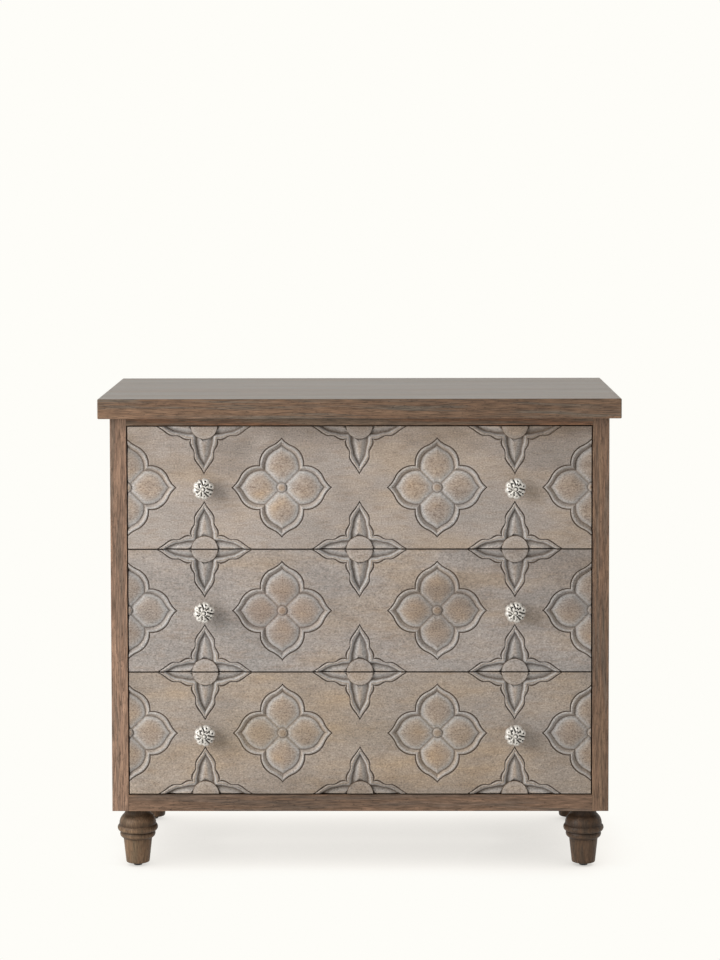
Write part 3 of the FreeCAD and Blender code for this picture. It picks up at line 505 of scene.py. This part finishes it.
def sawFront(drawer, sheet):
    # cuts one front from the sheet, eases its edges and gives it its thickness and dovetail pins
    low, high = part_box(f"{drawer}_drawer_front")
    arris = frontBoard["arris"] * mm
    bm = bmesh.new()
    bm.from_mesh(sheet)
    cuts = [((low.x + arris, 0, 0), (-1, 0, 0)), ((high.x - arris, 0, 0), (1, 0, 0)),
            ((0, 0, low.z + arris), (0, 0, -1)), ((0, 0, high.z - arris), (0, 0, 1))]
    for spot, way in cuts:
        bmesh.ops.bisect_plane(bm, geom=bm.verts[:] + bm.edges[:] + bm.faces[:], dist=1e-6,
                               plane_co=spot, plane_no=way, clear_outer=True)
    for vert in growRim(bm):
        if abs(vert.co.x - low.x - arris) < hair or abs(vert.co.x - high.x + arris) < hair:
            vert.co.x += math.copysign(arris, vert.co.x)
        if abs(vert.co.z - low.z - arris) < hair:
            vert.co.z -= arris
        if abs(vert.co.z - high.z + arris) < hair:
            vert.co.z += arris
        vert.co.y += arris
        # stain and painted shade: the eased edges are darkened like the shaded gaps round the fronts
        vert[bm.verts.layers.float["line"]] = frontBoard["edgeStain"]
    behindSkin = low.y + frontBoard["skin"] * mm
    for vert in growRim(bm):
        vert.co.y = behindSkin
    bmesh.ops.edgeloop_fill(bm, edges=[e for e in bm.edges if e.is_boundary])

    # the board behind the skin, between the drawer sides, and the pins between the tails
    inner = high.x - frontBoard["boxSide"] * mm
    addBlock(bm, Vector((-inner, behindSkin, low.z)), Vector((inner, high.y, high.z)))
    boxLow = low.z + frontBoard["boxRise"] * mm
    boxHigh = high.z - frontBoard["boxDrop"] * mm
    pitch = (boxHigh - boxLow) / frontBoard["tails"]
    flare = (frontBoard["tailWide"] - frontBoard["tailNarrow"]) / 2 * mm
    half = frontBoard["tailNarrow"] / 2 * mm
    for side in (-1, 1):
        for k in range(frontBoard["tails"] + 1):
            start = low.z if k == 0 else boxLow + (k - 0.5) * pitch + half
            end = high.z if k == frontBoard["tails"] else boxLow + (k + 0.5) * pitch - half
            xs = sorted((side * inner, side * high.x))
            pin = addBlock(bm, Vector((xs[0], behindSkin, start)), Vector((xs[1], high.y, end)))
            for vert in pin:
                if vert.co.y < high.y - hair and abs(vert.co.z - start) < hair and k > 0:
                    vert.co.z += flare
                elif vert.co.y < high.y - hair and abs(vert.co.z - end) < hair and k < frontBoard["tails"]:
                    vert.co.z -= flare
    bmesh.ops.recalc_face_normals(bm, faces=bm.faces[:])
    return finishPiece(bm, f"{drawer}CarvedFront", f"{drawer}_drawer", [f"{drawer}_drawer_front"],
                       38)


def addBlock(bm, low, high):
    size = high - low
    place = Matrix.Translation((low + high) / 2) @ Matrix.Diagonal((size.x, size.y, size.z, 1))
    return bmesh.ops.create_cube(bm, size=1.0, matrix=place)["verts"]


def finishPiece(bm, name, body, standsFor, sharpAngle):
    settleOrder(bm)
    for face in bm.faces:
        face.smooth = True
    mesh = bpy.data.meshes.new(name)
    bm.to_mesh(mesh)
    bm.free()
    mesh.set_sharp_from_angle(angle=math.radians(sharpAngle))
    piece = bpy.data.objects.new(name, mesh)
    scene.collection.objects.link(piece)
    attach(piece, body)
    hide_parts(*standsFor)
    return piece


# cast knobs: a spun body, its head worked by hand into uneven petals round a bead
# a slot is its inner and outer end and how dark its oxide and painted shade are, darker on the right away
# from the key, and it ends in a notch in the rim
# a pit is its place and its darkness, oxide and painted shade; places are degrees round the head and shares
# of its radius
knobShape = {
    "radius": 19.0, "rim": 19.0, "crown": 31.0, "back": 12.0, "neck": 6.5, "base": 9.0, "baseHigh": 2.5,
    "around": 210, "underSteps": 10, "domeSteps": 40,
    "slots": [((150, 0.42), (128, 0.74), 0.9), ((88, 0.44), (103, 0.93), 1.0), ((54, 0.46), (44, 0.74), 0.9),
              ((14, 0.42), (-7, 0.98), 1.0), ((-38, 0.40), (-30, 0.66), 0.9), ((-65, 0.36), (-55, 0.93), 1.0),
              ((-117, 0.38), (-104, 0.72), 0.8), ((-160, 0.40), (-150, 0.72), 0.6),
              ((188, 0.40), (172, 0.70), 0.6)],
    "pits": [(118, 0.64, 1.0), (74, 0.80, 1.0), (19, 0.82, 1.0), (-33, 0.84, 1.0), (-80, 0.70, 0.6),
             (-128, 0.72, 0.6), (199, 0.68, 1.0), (150, 0.76, 0.5), (70, 0.52, 0.8), (36, 0.66, 0.6),
             (-8, 0.66, 0.5)],
    "slotWide": 1.3, "slotDeep": 3.4, "notchWide": 2.4, "notchDeep": 2.4, "notchDark": 0.4,
    "pitWide": 1.6, "pitDeep": 2.8, "bead": 3.7, "beadRing": 1.25, "beadDeep": 2.4, "beadDarkest": 8.0,
    "petalEdge": 3.2, "petalFall": 0.9,  # the petals fall away towards their slots
    "workedBelow": 4.0, "workedFade": 3.0, "workedLean": 6.0, "stemPatina": 0.35,
}


def knobProfile():
    s = knobShape
    run = [(s["base"], 0.0), (s["base"], s["baseHigh"] - 0.6), (s["base"] - 0.6, s["baseHigh"]),
           (s["neck"] + 0.8, s["baseHigh"] + 0.6), (s["neck"], s["baseHigh"] + 2.0),
           (s["neck"], s["back"] - 1.0)]
    for k in range(1, s["underSteps"] + 1):  # under the head
        a = math.radians(90 * k / s["underSteps"])
        run.append((s["neck"] + (s["radius"] - s["neck"]) * math.sin(a),
                    s["back"] + (s["rim"] - s["back"]) * (1 - math.cos(a))))
    rise = s["crown"] - s["rim"]
    for k in range(1, s["domeSteps"]):  # over the dome
        a = math.radians(90 * k / s["domeSteps"])
        run.append((s["radius"] * math.cos(a), s["rim"] + rise * math.sin(a)))
    run.append((0.0, s["crown"]))
    return run


def onHead(degrees, share):
    angle = math.radians(degrees)
    return Vector((math.cos(angle), math.sin(angle))) * share * knobShape["radius"]


def knobHollow(spot):
    # how far the head is sunk at a spot by slots, notches, pits and the bead's ring, and the oxide and
    # painted shade in them
    s = knobShape
    sunk, oxide, nearest = 0.0, 0.0, s["radius"]
    for inner, outer, dark in s["slots"]:
        start, end = onHead(*inner), onHead(*outer)
        share = min(1, max(0, (spot - start).dot(end - start) / (end - start).length_squared))
        away = (spot - start.lerp(end, share)).length
        dip = math.exp(-(away / s["slotWide"]) ** 2)
        nearest = min(nearest, away)
        notch = math.exp(-((spot - onHead(outer[0], 1.0)).length / s["notchWide"]) ** 2)
        sunk = max(sunk, dip * s["slotDeep"], notch * s["notchDeep"])
        oxide = max(oxide, dip * dark, notch * dark * s["notchDark"])
    for degrees, reach, dark in s["pits"]:
        dip = math.exp(-((spot - onHead(degrees, reach)).length / s["pitWide"]) ** 4)
        sunk = max(sunk, dip * s["pitDeep"] * dark)
        oxide = max(oxide, dip * dark)
    ring = math.exp(-((spot.length - s["bead"]) / s["beadRing"]) ** 2)
    # painted shade: the bead's ring is darkest on its right, away from the key
    facing = 0.5 + 0.5 * math.cos(math.atan2(spot.y, spot.x) - math.radians(s["beadDarkest"]))
    sunk = max(sunk, ring * s["beadDeep"])
    oxide = max(oxide, ring * (0.25 + 0.75 * facing))
    fall = math.exp(-(nearest / s["petalEdge"]) ** 2)
    return sunk + s["petalFall"] * fall, oxide


def castKnob():
    # one casting, its stem's seat at the origin and its head towards the front
    s = knobShape
    bm = bmesh.new()
    patina = bm.verts.layers.float.new("patina")
    profile = knobProfile()
    chain = startChain(bm, len(profile))
    for vert, (r, reach) in zip(chain, profile):
        vert.co = (r * mm, -reach * mm, 0)
    bmesh.ops.spin(bm, geom=chain + bm.edges[:], axis=(0, 1, 0), angle=math.tau, steps=s["around"],
                   use_merge=True)
    bmesh.ops.remove_doubles(bm, verts=bm.verts[:], dist=1e-6)
    for vert in bm.verts:
        overRim = -vert.co.y / mm - s["rim"]
        if overRim < -s["workedBelow"]:
            vert[patina] = s["stemPatina"]
            continue
        sunk, vert[patina] = knobHollow(Vector((vert.co.x, vert.co.z)) / mm)
        lean = Vector((vert.co.x, -(overRim + s["workedLean"]) * mm, vert.co.z)).normalized()
        fade = min(1, (overRim + s["workedBelow"]) / s["workedFade"])
        vert.co -= lean * sunk * fade * mm
    bmesh.ops.recalc_face_normals(bm, faces=bm.faces[:])
    mesh = bpy.data.meshes.new("knobCasting")
    bm.to_mesh(mesh)
    bm.free()
    return mesh


def placeKnob(drawer, hand, casting):
    low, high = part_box(f"{drawer}_{hand}_knob_stem")
    bm = bmesh.new()
    bm.from_mesh(casting)
    bmesh.ops.translate(bm, verts=bm.verts[:], vec=((low.x + high.x) / 2, high.y, (low.z + high.z) / 2))
    return finishPiece(bm, f"{drawer}{hand.capitalize()}RosetteKnob", f"{drawer}_drawer",
                       [f"{drawer}_{hand}_knob", f"{drawer}_{hand}_knob_stem"], 60)


# turned legs: radius, share of the leg's height and darkness there, up from the foot; the darkness is dark
# stain in the turned grooves and painted shade at the foot and on the neck and ball under the case
legShape = {
    "foot": 20.8, "chamfer": 1.5, "around": 120, "taperSteps": 12,
    "taperTop": (25.4, 0.432, 0.35),
    "lowBead": [(27.4, 0.446, 0.9), (31.4, 0.508, 0.1), (30.0, 0.557, 1.0)],
    "highBead": [(30.0, 0.557, 1.0), (35.8, 0.620, 0.1), (32.6, 0.679, 0.8)],
    "ball": [(32.6, 0.679, 0.8), (30.6, 0.785, 0.3), (24.6, 0.860, 0.65)],
    "neck": [(24.6, 0.860, 0.65), (22.2, 0.915, 0.75), (22.6, 1.0, 0.9)],
}


def arcThrough(first, middle, last, steps):
    # points on the circle through three places, with the stain and painted shade blended along them
    (ax, ay, aStainAndShade), (bx, by, bStainAndShade), (cx, cy, cStainAndShade) = first, middle, last
    twist = 2 * (ax * (by - cy) + bx * (cy - ay) + cx * (ay - by))
    squares = [x * x + y * y for x, y in ((ax, ay), (bx, by), (cx, cy))]
    ox = (squares[0] * (by - cy) + squares[1] * (cy - ay) + squares[2] * (ay - by)) / twist
    oy = (squares[0] * (cx - bx) + squares[1] * (ax - cx) + squares[2] * (bx - ax)) / twist
    radius = math.hypot(ax - ox, ay - oy)
    begin, bend = math.atan2(ay - oy, ax - ox), math.atan2(cy - oy, cx - ox)
    turn = (bend - begin + math.pi) % math.tau - math.pi
    run = []
    for k in range(1, steps + 1):
        t = k / steps
        angle = begin + turn * t
        stain = aStainAndShade + (bStainAndShade - aStainAndShade) * 2 * t if t < 0.5 else bStainAndShade + (cStainAndShade - bStainAndShade) * (2 * t - 1)
        run.append((ox + radius * math.cos(angle), oy + radius * math.sin(angle), stain))
    return run


def turnLeg(name):
    s = legShape
    low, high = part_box(name)
    tall = (high.z - low.z) / mm
    foot, chamfer = s["foot"], s["chamfer"]
    topRadius, topShare, topStainAndShade = s["taperTop"]
    # each point's darkness is dark stain in the grooves and painted shade at the foot and under the case
    run = [(0.0, 0.0, 0.6), (foot - chamfer, 0.0, 0.6), (foot - chamfer * 0.3, chamfer * 0.3, 0.4),
           (foot, chamfer, 0.1)]
    for k in range(1, s["taperSteps"] + 1):
        t = k / s["taperSteps"]
        up = chamfer + (topShare * tall - chamfer) * t
        run.append((foot + (topRadius - foot) * t, up, topStainAndShade * t ** 8))
    radius, share, stain = s["lowBead"][0]
    run.append((radius, share * tall, stain))
    for part, steps in (("lowBead", 14), ("highBead", 18), ("ball", 16), ("neck", 10)):
        run += arcThrough(*[(r, up * tall, dark) for r, up, dark in s[part]], steps)
    run.append((0.0, tall, 1.0))
    bm = bmesh.new()
    groove = bm.verts.layers.float.new("groove")
    chain = startChain(bm, len(run))
    for vert, (r, up, dark) in zip(chain, run):
        vert.co = (r * mm, 0, up * mm)
        vert[groove] = dark
    bmesh.ops.spin(bm, geom=chain + bm.edges[:], axis=(0, 0, 1), angle=math.tau, steps=s["around"],
                   use_merge=True)
    bmesh.ops.remove_doubles(bm, verts=bm.verts[:], dist=1e-6)
    bmesh.ops.recalc_face_normals(bm, faces=bm.faces[:])
    bmesh.ops.translate(bm, verts=bm.verts[:], vec=((low.x + high.x) / 2, (low.y + high.y) / 2, low.z))
    words = name.split("_")
    piece = words[0] + "".join(word.capitalize() for word in words[1:])
    return finishPiece(bm, f"{piece}Turning", "case", [name], 40)


# limed hardwood: a worn brown stain with grey lime left along the grain, dark open pores, satin from wax
# patterns are millimetres across and along the grain
# (grain and pores are drawn about three times as coarse as real ones, so that the picture can show them)
caseWood = {
    "brown": "#775e4b", "grey": "#6d5b4d", "pale": "#826753",
    "poreDark": "#32271f", "grooveDark": "#241a14", "grooveHold": 0.85,
    "board": (62.0, 900.0), "streak": (10.0, 230.0), "grain": (1.9, 27.0), "pore": (2.0, 7.0),
    "boardContrast": 0.2, "grainContrast": 0.58, "roughness": 0.42, "wax": 0.05, "gloss": 0.24,
    "faded": 0.0, "fadedGrey": "#5d5751",
}
# the upper face of the top is dusted and waxed most and has faded to grey
topWood = dict(caseWood, brown="#6f5541", grey="#685b4e", pale="#7e634d", wax=0.2, faded=0.5)
topRailWood = dict(topWood, brown="#78563e", grey="#705c4a", pale="#896449", faded=0.0)
# the left side panel is painted lighter and the right-hand side panel and legs darker, as painted light and
# painted shade from the key on the left
leftSideWoodPaintedLight = dict(caseWood, brown="#886c59", grey="#7e6959", pale="#957863")
rightSideWoodPaintedShade = dict(caseWood, brown="#735a48", grey="#6a594b", pale="#7e6550")
# the legs are turned from warmer stock; their dark stain stays in the turned grooves, and painted shade
# darkens the foot and the neck and ball under the case
leftLegWood = dict(caseWood, brown="#755c46", grey="#6a5844", pale="#826a52", streak=(10.0, 110.0),
                   grainContrast=0.4, roughness=0.48, wax=0.0, gloss=0.2)
# painted shade: the right-hand legs are darker, away from the key
rightLegWoodPaintedShade = dict(leftLegWood, brown="#5c4736", grey="#514235", pale="#685240")
# painted shade: the rear legs are darker still, in the shade under the case
rearLegWoodPaintedShade = dict(leftLegWood, brown="#544130", grey="#4a3d30", pale="#604b3a")
# plain planed wood inside, pale and unfinished
boxWood = dict(caseWood, brown="#c19c74", grey="#b8956f", pale="#c9a57c", poreDark="#9a7a58",
               board=(90.0, 1200.0), streak=(18.0, 420.0), grain=(2.6, 90.0), pore=(1.6, 16.0),
               boardContrast=0.08, grainContrast=0.16, roughness=0.66, wax=0.0)


def patternNoise(tree, axis, size, shift, detail, rough=0.5, twist=0.0):
    # noise with spots as long along the axis and as wide across it as the size says, in millimetres
    wide, long = size
    scale = [1000 / wide] * 3
    scale["XYZ".index(axis)] = 1000 / long
    coords = addNode(tree, "ShaderNodeTexCoord")
    placed = addNode(tree, "ShaderNodeMapping", {"Vector": coords.outputs["Object"], "Scale": scale,
                                                 "Location": (shift, shift * 0.7, shift * 1.3)})
    return addNode(tree, "ShaderNodeTexNoise", {
        "Vector": placed.outputs[0], "Scale": 1.0, "Detail": detail, "Roughness": rough,
        "Distortion": twist}).outputs["Fac"]


def layCoats(tree, colour, coats):
    # lays coats over a colour one after another, each as strong as its share
    for share, coat in coats:
        if isinstance(coat, str):
            coat = toLinear(coat)
        colour = addNode(tree, "ShaderNodeMix", {0: share, 6: colour, 7: coat}, data_type="RGBA").outputs[2]
    return colour


def shadeBy(tree, colour, patterns):
    # lightens and darkens a colour by one pattern after another
    for pattern, stops in patterns:
        levels = addNode(tree, "ShaderNodeValToRGB", {"Fac": pattern},
                         stops=[(at, grey(level)) for at, level in stops])
        colour = addNode(tree, "ShaderNodeMix", {0: 1.0, 6: colour, 7: levels.outputs[0]},
                         data_type="RGBA", blend_type="MULTIPLY").outputs[2]
    return colour


def limedWood(name, axis, look):
    material, tree = freshMaterial(name)
    board, streak, grain, pores = [
        patternNoise(tree, axis, look[kind], shift, detail, rough=0.6, twist=0.3)
        for kind, shift, detail in (
            ("board", 5.3, 2.0), ("streak", 0.0, 3.0), ("grain", 3.1, 4.0), ("pore", 8.4, 2.0))]
    tone = addNode(tree, "ShaderNodeValToRGB", {"Fac": streak}, stops=[
        (0.39, toLinear(look["grey"])), (0.52, toLinear(look["brown"])), (0.65, toLinear(look["pale"]))])
    wide, fine = look["boardContrast"], look["grainContrast"]
    colour = shadeBy(tree, tone.outputs[0], [
        (board, [(0.34, 1 - wide), (0.5, 1.0), (0.66, 1 + wide)]),
        (grain, [(0.3, 1 - fine), (0.5, 1.0), (0.7, 1 + fine)])])
    pit = addNode(tree, "ShaderNodeMapRange", {"Value": pores, "From Min": 0.58, "From Max": 0.72,
                                               "To Min": 0.0, "To Max": 0.6}).outputs[0]
    # painted shade and dark stain: the darkness at the foot, in the grooves and under the case
    groove = addNode(tree, "ShaderNodeAttribute", attribute_name="groove")  # only the turned legs carry it
    held = addNode(tree, "ShaderNodeMath", {0: groove.outputs["Fac"], 1: look["grooveHold"]},
                   operation="MULTIPLY").outputs[0]
    coats = [(pit, look["poreDark"]), (held, look["grooveDark"])]
    if look["faded"]:
        coords = addNode(tree, "ShaderNodeTexCoord")
        facing = addNode(tree, "ShaderNodeSeparateXYZ", {0: coords.outputs["Normal"]})
        upward = addNode(tree, "ShaderNodeMapRange", {
            "Value": facing.outputs["Z"], "From Min": 0.5, "From Max": 0.95,
            "To Min": 0.0, "To Max": look["faded"]})
        coats.append((upward.outputs[0], look["fadedGrey"]))
    colour = layCoats(tree, colour, coats)
    height = addNode(tree, "ShaderNodeMath", {0: grain, 1: pit}, operation="SUBTRACT").outputs[0]
    bump = addNode(tree, "ShaderNodeBump", {"Height": height, "Strength": 0.25, "Distance": 0.0006})
    rough = addNode(tree, "ShaderNodeMapRange", {
        "Value": board, "From Min": 0.32, "From Max": 0.68,
        "To Min": look["roughness"] - 0.03, "To Max": look["roughness"] + 0.05})
    surface = addNode(tree, "ShaderNodeBsdfPrincipled", {
        "Base Color": colour, "Roughness": rough.outputs[0], "Normal": bump.outputs[0], "IOR": 1.5,
        "Specular IOR Level": look["gloss"], "Coat Weight": look["wax"], "Coat Roughness": 0.3})
    addNode(tree, "ShaderNodeOutputMaterial", {"Surface": surface.outputs[0]})
    return material


# the same hardwood carved, whitewashed and rubbed back: chalky grey in the hollows, tan where hands rub,
# a dusty speckle of filled pores (drawn coarse) over faint bands of the board, and painted shade along the
# cut lines and valleys
frontWood = {
    "stain": "#8e7a67", "chalk": "#b8b7b5", "rubbedTan": "#a08d7b", "ochre": "#aa9073",
    "lineDark": "#46372b", "lineHold": 0.9, "poreStain": "#805c45",
    "smoke": "#6a5a4b", "honey": "#95805f", "rust": "#866850",
    "patch": (64.0, 230.0), "cloud": (70.0, 112.0), "mottle": (9.0, 34.0), "grain": (2.4, 18.0),
    "pore": (2.3, 3.0), "roughness": 0.62, "gloss": 0.18,
}
# each front is its own board and took the wash a little differently; a glaze was left in places, some smoke
# patches are painted shade under the top's overhang, and others darken the fronts towards their ends:
# middle across and up from the front's lower edge, reach across and up, strength, tint
boardTones = {
    "lower": {"grey": "#9d938a", "field": "#a39587", "tan": "#a9957f", "shift": 0.0, "glaze": [
        (-190, 110, 130, 55, 0.3, "honey"), (60, 110, 200, 45, 0.2, "honey"),
        (-80, -5, 520, 60, 0.28, "smoke"), (-425, 110, 80, 120, 0.2, "smoke"),
        (420, 105, 90, 140, 0.28, "smoke")]},
    "middle": {"grey": "#9a938d", "field": "#a1978f", "tan": "#a69686", "shift": 4.0, "glaze": [
        (138, 119, 100, 90, 0.5, "smoke"), (205, 150, 80, 70, 0.15, "smoke"),
        (-142, 108, 90, 75, 0.35, "rust"), (330, 190, 260, 60, 0.3, "smoke"),
        (-425, 110, 80, 120, 0.25, "smoke"), (425, 100, 90, 140, 0.28, "smoke")]},
    "upper": {"grey": "#9f968e", "field": "#a69a90", "tan": "#ad9c8b", "shift": 9.0, "glaze": [
        # painted shade: the first smoke patch here and the one at 335 across darken the strip under the top's
        # overhang
        (0, 225, 560, 75, 0.45, "smoke"), (-250, 170, 110, 60, 0.25, "smoke"),
        (330, 175, 150, 70, 0.3, "smoke"), (335, 218, 190, 42, 0.6, "smoke"),
        (-425, 140, 80, 120, 0.28, "smoke"), (420, 90, 90, 130, 0.28, "smoke")]},
}


def carvedWood(name, drawer):
    look, board = frontWood, boardTones[drawer]
    low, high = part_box(f"{drawer}_drawer_front")
    material, tree = freshMaterial(name)
    chalk, line, rubbed = [
        addNode(tree, "ShaderNodeAttribute", attribute_name=kind).outputs["Fac"] for kind in carvedLooks]
    patch, cloud, grain, pores, mottle = [
        patternNoise(tree, "X", look[kind], shift + board["shift"], detail, rough=0.62)
        for kind, shift, detail in (
            ("patch", 0.0, 4.0), ("cloud", 1.1, 3.0), ("grain", 2.3, 4.0), ("pore", 5.7, 3.0),
            ("mottle", 3.4, 3.0))]
    field = addNode(tree, "ShaderNodeValToRGB", {"Fac": patch}, stops=[
        (0.34, toLinear(board["grey"])), (0.5, toLinear(board["field"])), (0.66, toLinear(board["tan"]))])
    stain = addNode(tree, "ShaderNodeMapRange", {"Value": mottle, "From Min": 0.5, "From Max": 0.75,
                                                 "To Min": 0.0, "To Max": 0.45})
    worn = addNode(tree, "ShaderNodeValToRGB", {"Fac": cloud}, stops=[
        (0.5, toLinear(look["rubbedTan"])), (0.68, toLinear(look["ochre"]))])
    wear = addNode(tree, "ShaderNodeMath", {0: rubbed, 1: cloud}, operation="MULTIPLY")
    specks = addNode(tree, "ShaderNodeMapRange", {"Value": pores, "From Min": 0.5, "From Max": 0.36,
                                                  "To Min": 0.0, "To Max": 0.35})
    left = addNode(tree, "ShaderNodeMath", {0: rubbed, 1: specks.outputs[0]}, operation="MULTIPLY")
    cut = addNode(tree, "ShaderNodeMath", {0: line, 1: look["lineHold"]}, operation="MULTIPLY")
    coats = [(stain.outputs[0], look["stain"]), (wear.outputs[0], worn.outputs[0]),
             (left.outputs[0], look["poreStain"]), (chalk, look["chalk"]), (cut.outputs[0], look["lineDark"])]
    coords = addNode(tree, "ShaderNodeTexCoord")
    # each patch fades out from its middle, glaze and painted shade alike
    for x, z, across, up, strength, glaze in board["glaze"]:
        spot = addNode(tree, "ShaderNodeMapping", {
            "Vector": coords.outputs["Object"], "Scale": (1000 / across, 0, 1000 / up),
            "Location": (-((low.x + high.x) / 2 + x * mm) * 1000 / across, 0, -(low.z + z * mm) * 1000 / up)})
        away = addNode(tree, "ShaderNodeVectorMath", {0: spot.outputs[0]}, operation="LENGTH")
        ragged = addNode(tree, "ShaderNodeMath", {0: away.outputs["Value"], 1: cloud}, operation="ADD")
        share = addNode(tree, "ShaderNodeMapRange", {
            "Value": ragged.outputs[0], "From Min": 0.5, "From Max": 1.5, "To Min": strength, "To Max": 0.0},
            interpolation_type="SMOOTHSTEP")
        coats.append((share.outputs[0], look[glaze]))
    colour = shadeBy(tree, layCoats(tree, field.outputs[0], coats), [
        (cloud, [(0.3, 0.9), (0.5, 1.0), (0.7, 1.08)]),
        (grain, [(0.3, 0.9), (0.5, 1.0), (0.7, 1.1)]),
        (pores, [(0.28, 0.55), (0.45, 0.94), (0.58, 1.08), (0.74, 1.5)])])
    height = addNode(tree, "ShaderNodeMath", {0: grain, 1: pores}, operation="ADD").outputs[0]
    bump = addNode(tree, "ShaderNodeBump", {"Height": height, "Strength": 0.35, "Distance": 0.0008})
    surface = addNode(tree, "ShaderNodeBsdfPrincipled", {
        "Base Color": colour, "Roughness": look["roughness"], "Normal": bump.outputs[0], "IOR": 1.5,
        "Specular IOR Level": look["gloss"]})
    addNode(tree, "ShaderNodeOutputMaterial", {"Surface": surface.outputs[0]})
    return material


# cast white metal: bright where hands polish it, dark oxide left in the hollows, with painted shade in those
# on the right
knobMetal = {"bright": "#d3cec6", "oxide": "#1a1715", "blotch": 2.2, "metallic": 0.3,
             "polished": 0.36, "dull": 0.8}


def castMetal(name):
    look = knobMetal
    material, tree = freshMaterial(name)
    patina = addNode(tree, "ShaderNodeAttribute", attribute_name="patina")
    blotch = patternNoise(tree, "X", (look["blotch"], look["blotch"]), 0.0, 3.0)
    held = addNode(tree, "ShaderNodeMath", {0: patina.outputs["Fac"], 1: blotch}, operation="MULTIPLY")
    share = addNode(tree, "ShaderNodeMapRange", {"Value": held.outputs[0], "From Min": 0.1,
                                                 "From Max": 0.36}).outputs[0]
    colour = layCoats(tree, toLinear(look["bright"]), [(share, look["oxide"])])
    rough = addNode(tree, "ShaderNodeMapRange", {"Value": share, "To Min": look["polished"],
                                                 "To Max": look["dull"]})
    bump = addNode(tree, "ShaderNodeBump", {"Height": blotch, "Strength": 0.15, "Distance": 0.0004})
    surface = addNode(tree, "ShaderNodeBsdfPrincipled", {
        "Base Color": colour, "Metallic": look["metallic"], "Roughness": rough.outputs[0],
        "Normal": bump.outputs[0]})
    addNode(tree, "ShaderNodeOutputMaterial", {"Surface": surface.outputs[0]})
    return material


# zinc-plated screws, a dull grey metal, and moulded black nylon glides: both faintly mottled
hiddenFinishes = {
    "zincPlatedSteel": {"colour": "#a9a9a6", "metallic": 1.0, "roughness": 0.38, "mottle": 3.0},
    "blackNylon": {"colour": "#242322", "metallic": 0.0, "roughness": 0.5, "mottle": 2.0},
}


def plainFinish(name):
    look = hiddenFinishes[name]
    material, tree = freshMaterial(name)
    mottle = patternNoise(tree, "X", (look["mottle"], look["mottle"]), 0.0, 2.0)
    tone = addNode(tree, "ShaderNodeMapRange", {"Value": mottle, "To Min": 0.8, "To Max": 1.2})
    colour = addNode(tree, "ShaderNodeMix", {0: 1.0, 6: toLinear(look["colour"]), 7: tone.outputs[0]},
                     data_type="RGBA", blend_type="MULTIPLY")
    surface = addNode(tree, "ShaderNodeBsdfPrincipled", {
        "Base Color": colour.outputs[2], "Metallic": look["metallic"], "Roughness": look["roughness"]})
    addNode(tree, "ShaderNodeOutputMaterial", {"Surface": surface.outputs[0]})
    return material


def dress(piece, material):
    piece.data.materials.clear()
    piece.data.materials.append(material)


makeStudio()
flower, star = carveFlower(), carveStar()
frontLow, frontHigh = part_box("lower_drawer_front")
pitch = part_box("middle_drawer_front")[0].z - frontLow.z
knobLow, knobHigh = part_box("lower_right_knob")
sheet = carvePattern(flower, star, frontLow, frontHigh, pitch, (knobLow.x + knobHigh.x) / 2)
knobFinish = castMetal("castWhiteMetal")
casting = castKnob()
for drawer in drawerNames:
    dress(sawFront(drawer, sheet), carvedWood(f"whitewashedCarvedWood{drawer.capitalize()}", drawer))
    for hand in ("left", "right"):
        dress(placeKnob(drawer, hand, casting), knobFinish)
    print(drawer, "drawer front and knobs made")
for stamp in (flower, star, sheet, casting):
    bpy.data.meshes.remove(stamp)

topFinish = limedWood("limedHardwoodTop", "X", topWood)
railFinish = {"top_front_rail": limedWood("limedHardwoodTopRail", "X", topRailWood),
              "bottom_front_rail": limedWood("limedHardwoodBottomRail", "X", caseWood)}
sideFinish = {"left": limedWood("limedHardwoodLeftSide", "Z", leftSideWoodPaintedLight),
              "right": limedWood("limedHardwoodRightSide", "Z", rightSideWoodPaintedShade)}
legFinish = {"front_left": limedWood("turnedHardwoodLeft", "Z", leftLegWood),
             "front_right": limedWood("turnedHardwoodRight", "Z", rightLegWoodPaintedShade)}
legFinish["rear_left"] = legFinish["rear_right"] = limedWood("turnedHardwoodRear", "Z", rearLegWoodPaintedShade)
plainX = limedWood("planedWoodAlongX", "X", boxWood)
plainY = limedWood("planedWoodAlongY", "Y", boxWood)
zinc, nylon = plainFinish("zincPlatedSteel"), plainFinish("blackNylon")
for name, piece in nodes.items():
    if name == "top_board":
        dress(piece, topFinish)
    elif name in railFinish:
        dress(piece, railFinish[name])
    elif name.endswith("side_panel"):
        dress(piece, sideFinish[name.split("_")[0]])
    elif name.endswith("_leg"):
        finish = legFinish[name.removesuffix("_leg")]
        dress(turnLeg(name), finish)
        dress(piece, finish)
    elif "_knob" in name and not name.endswith("bolts"):
        dress(piece, knobFinish)
    elif name.endswith("screws") or name.endswith("bolts"):
        dress(piece, zinc)
    elif name == "leg_glides":
        dress(piece, nylon)
    elif name.endswith("_side") or name.endswith("runner"):
        dress(piece, plainY)
    else:
        dress(piece, plainX)
print("CAD pieces dressed")

bpy.context.view_layer.update()
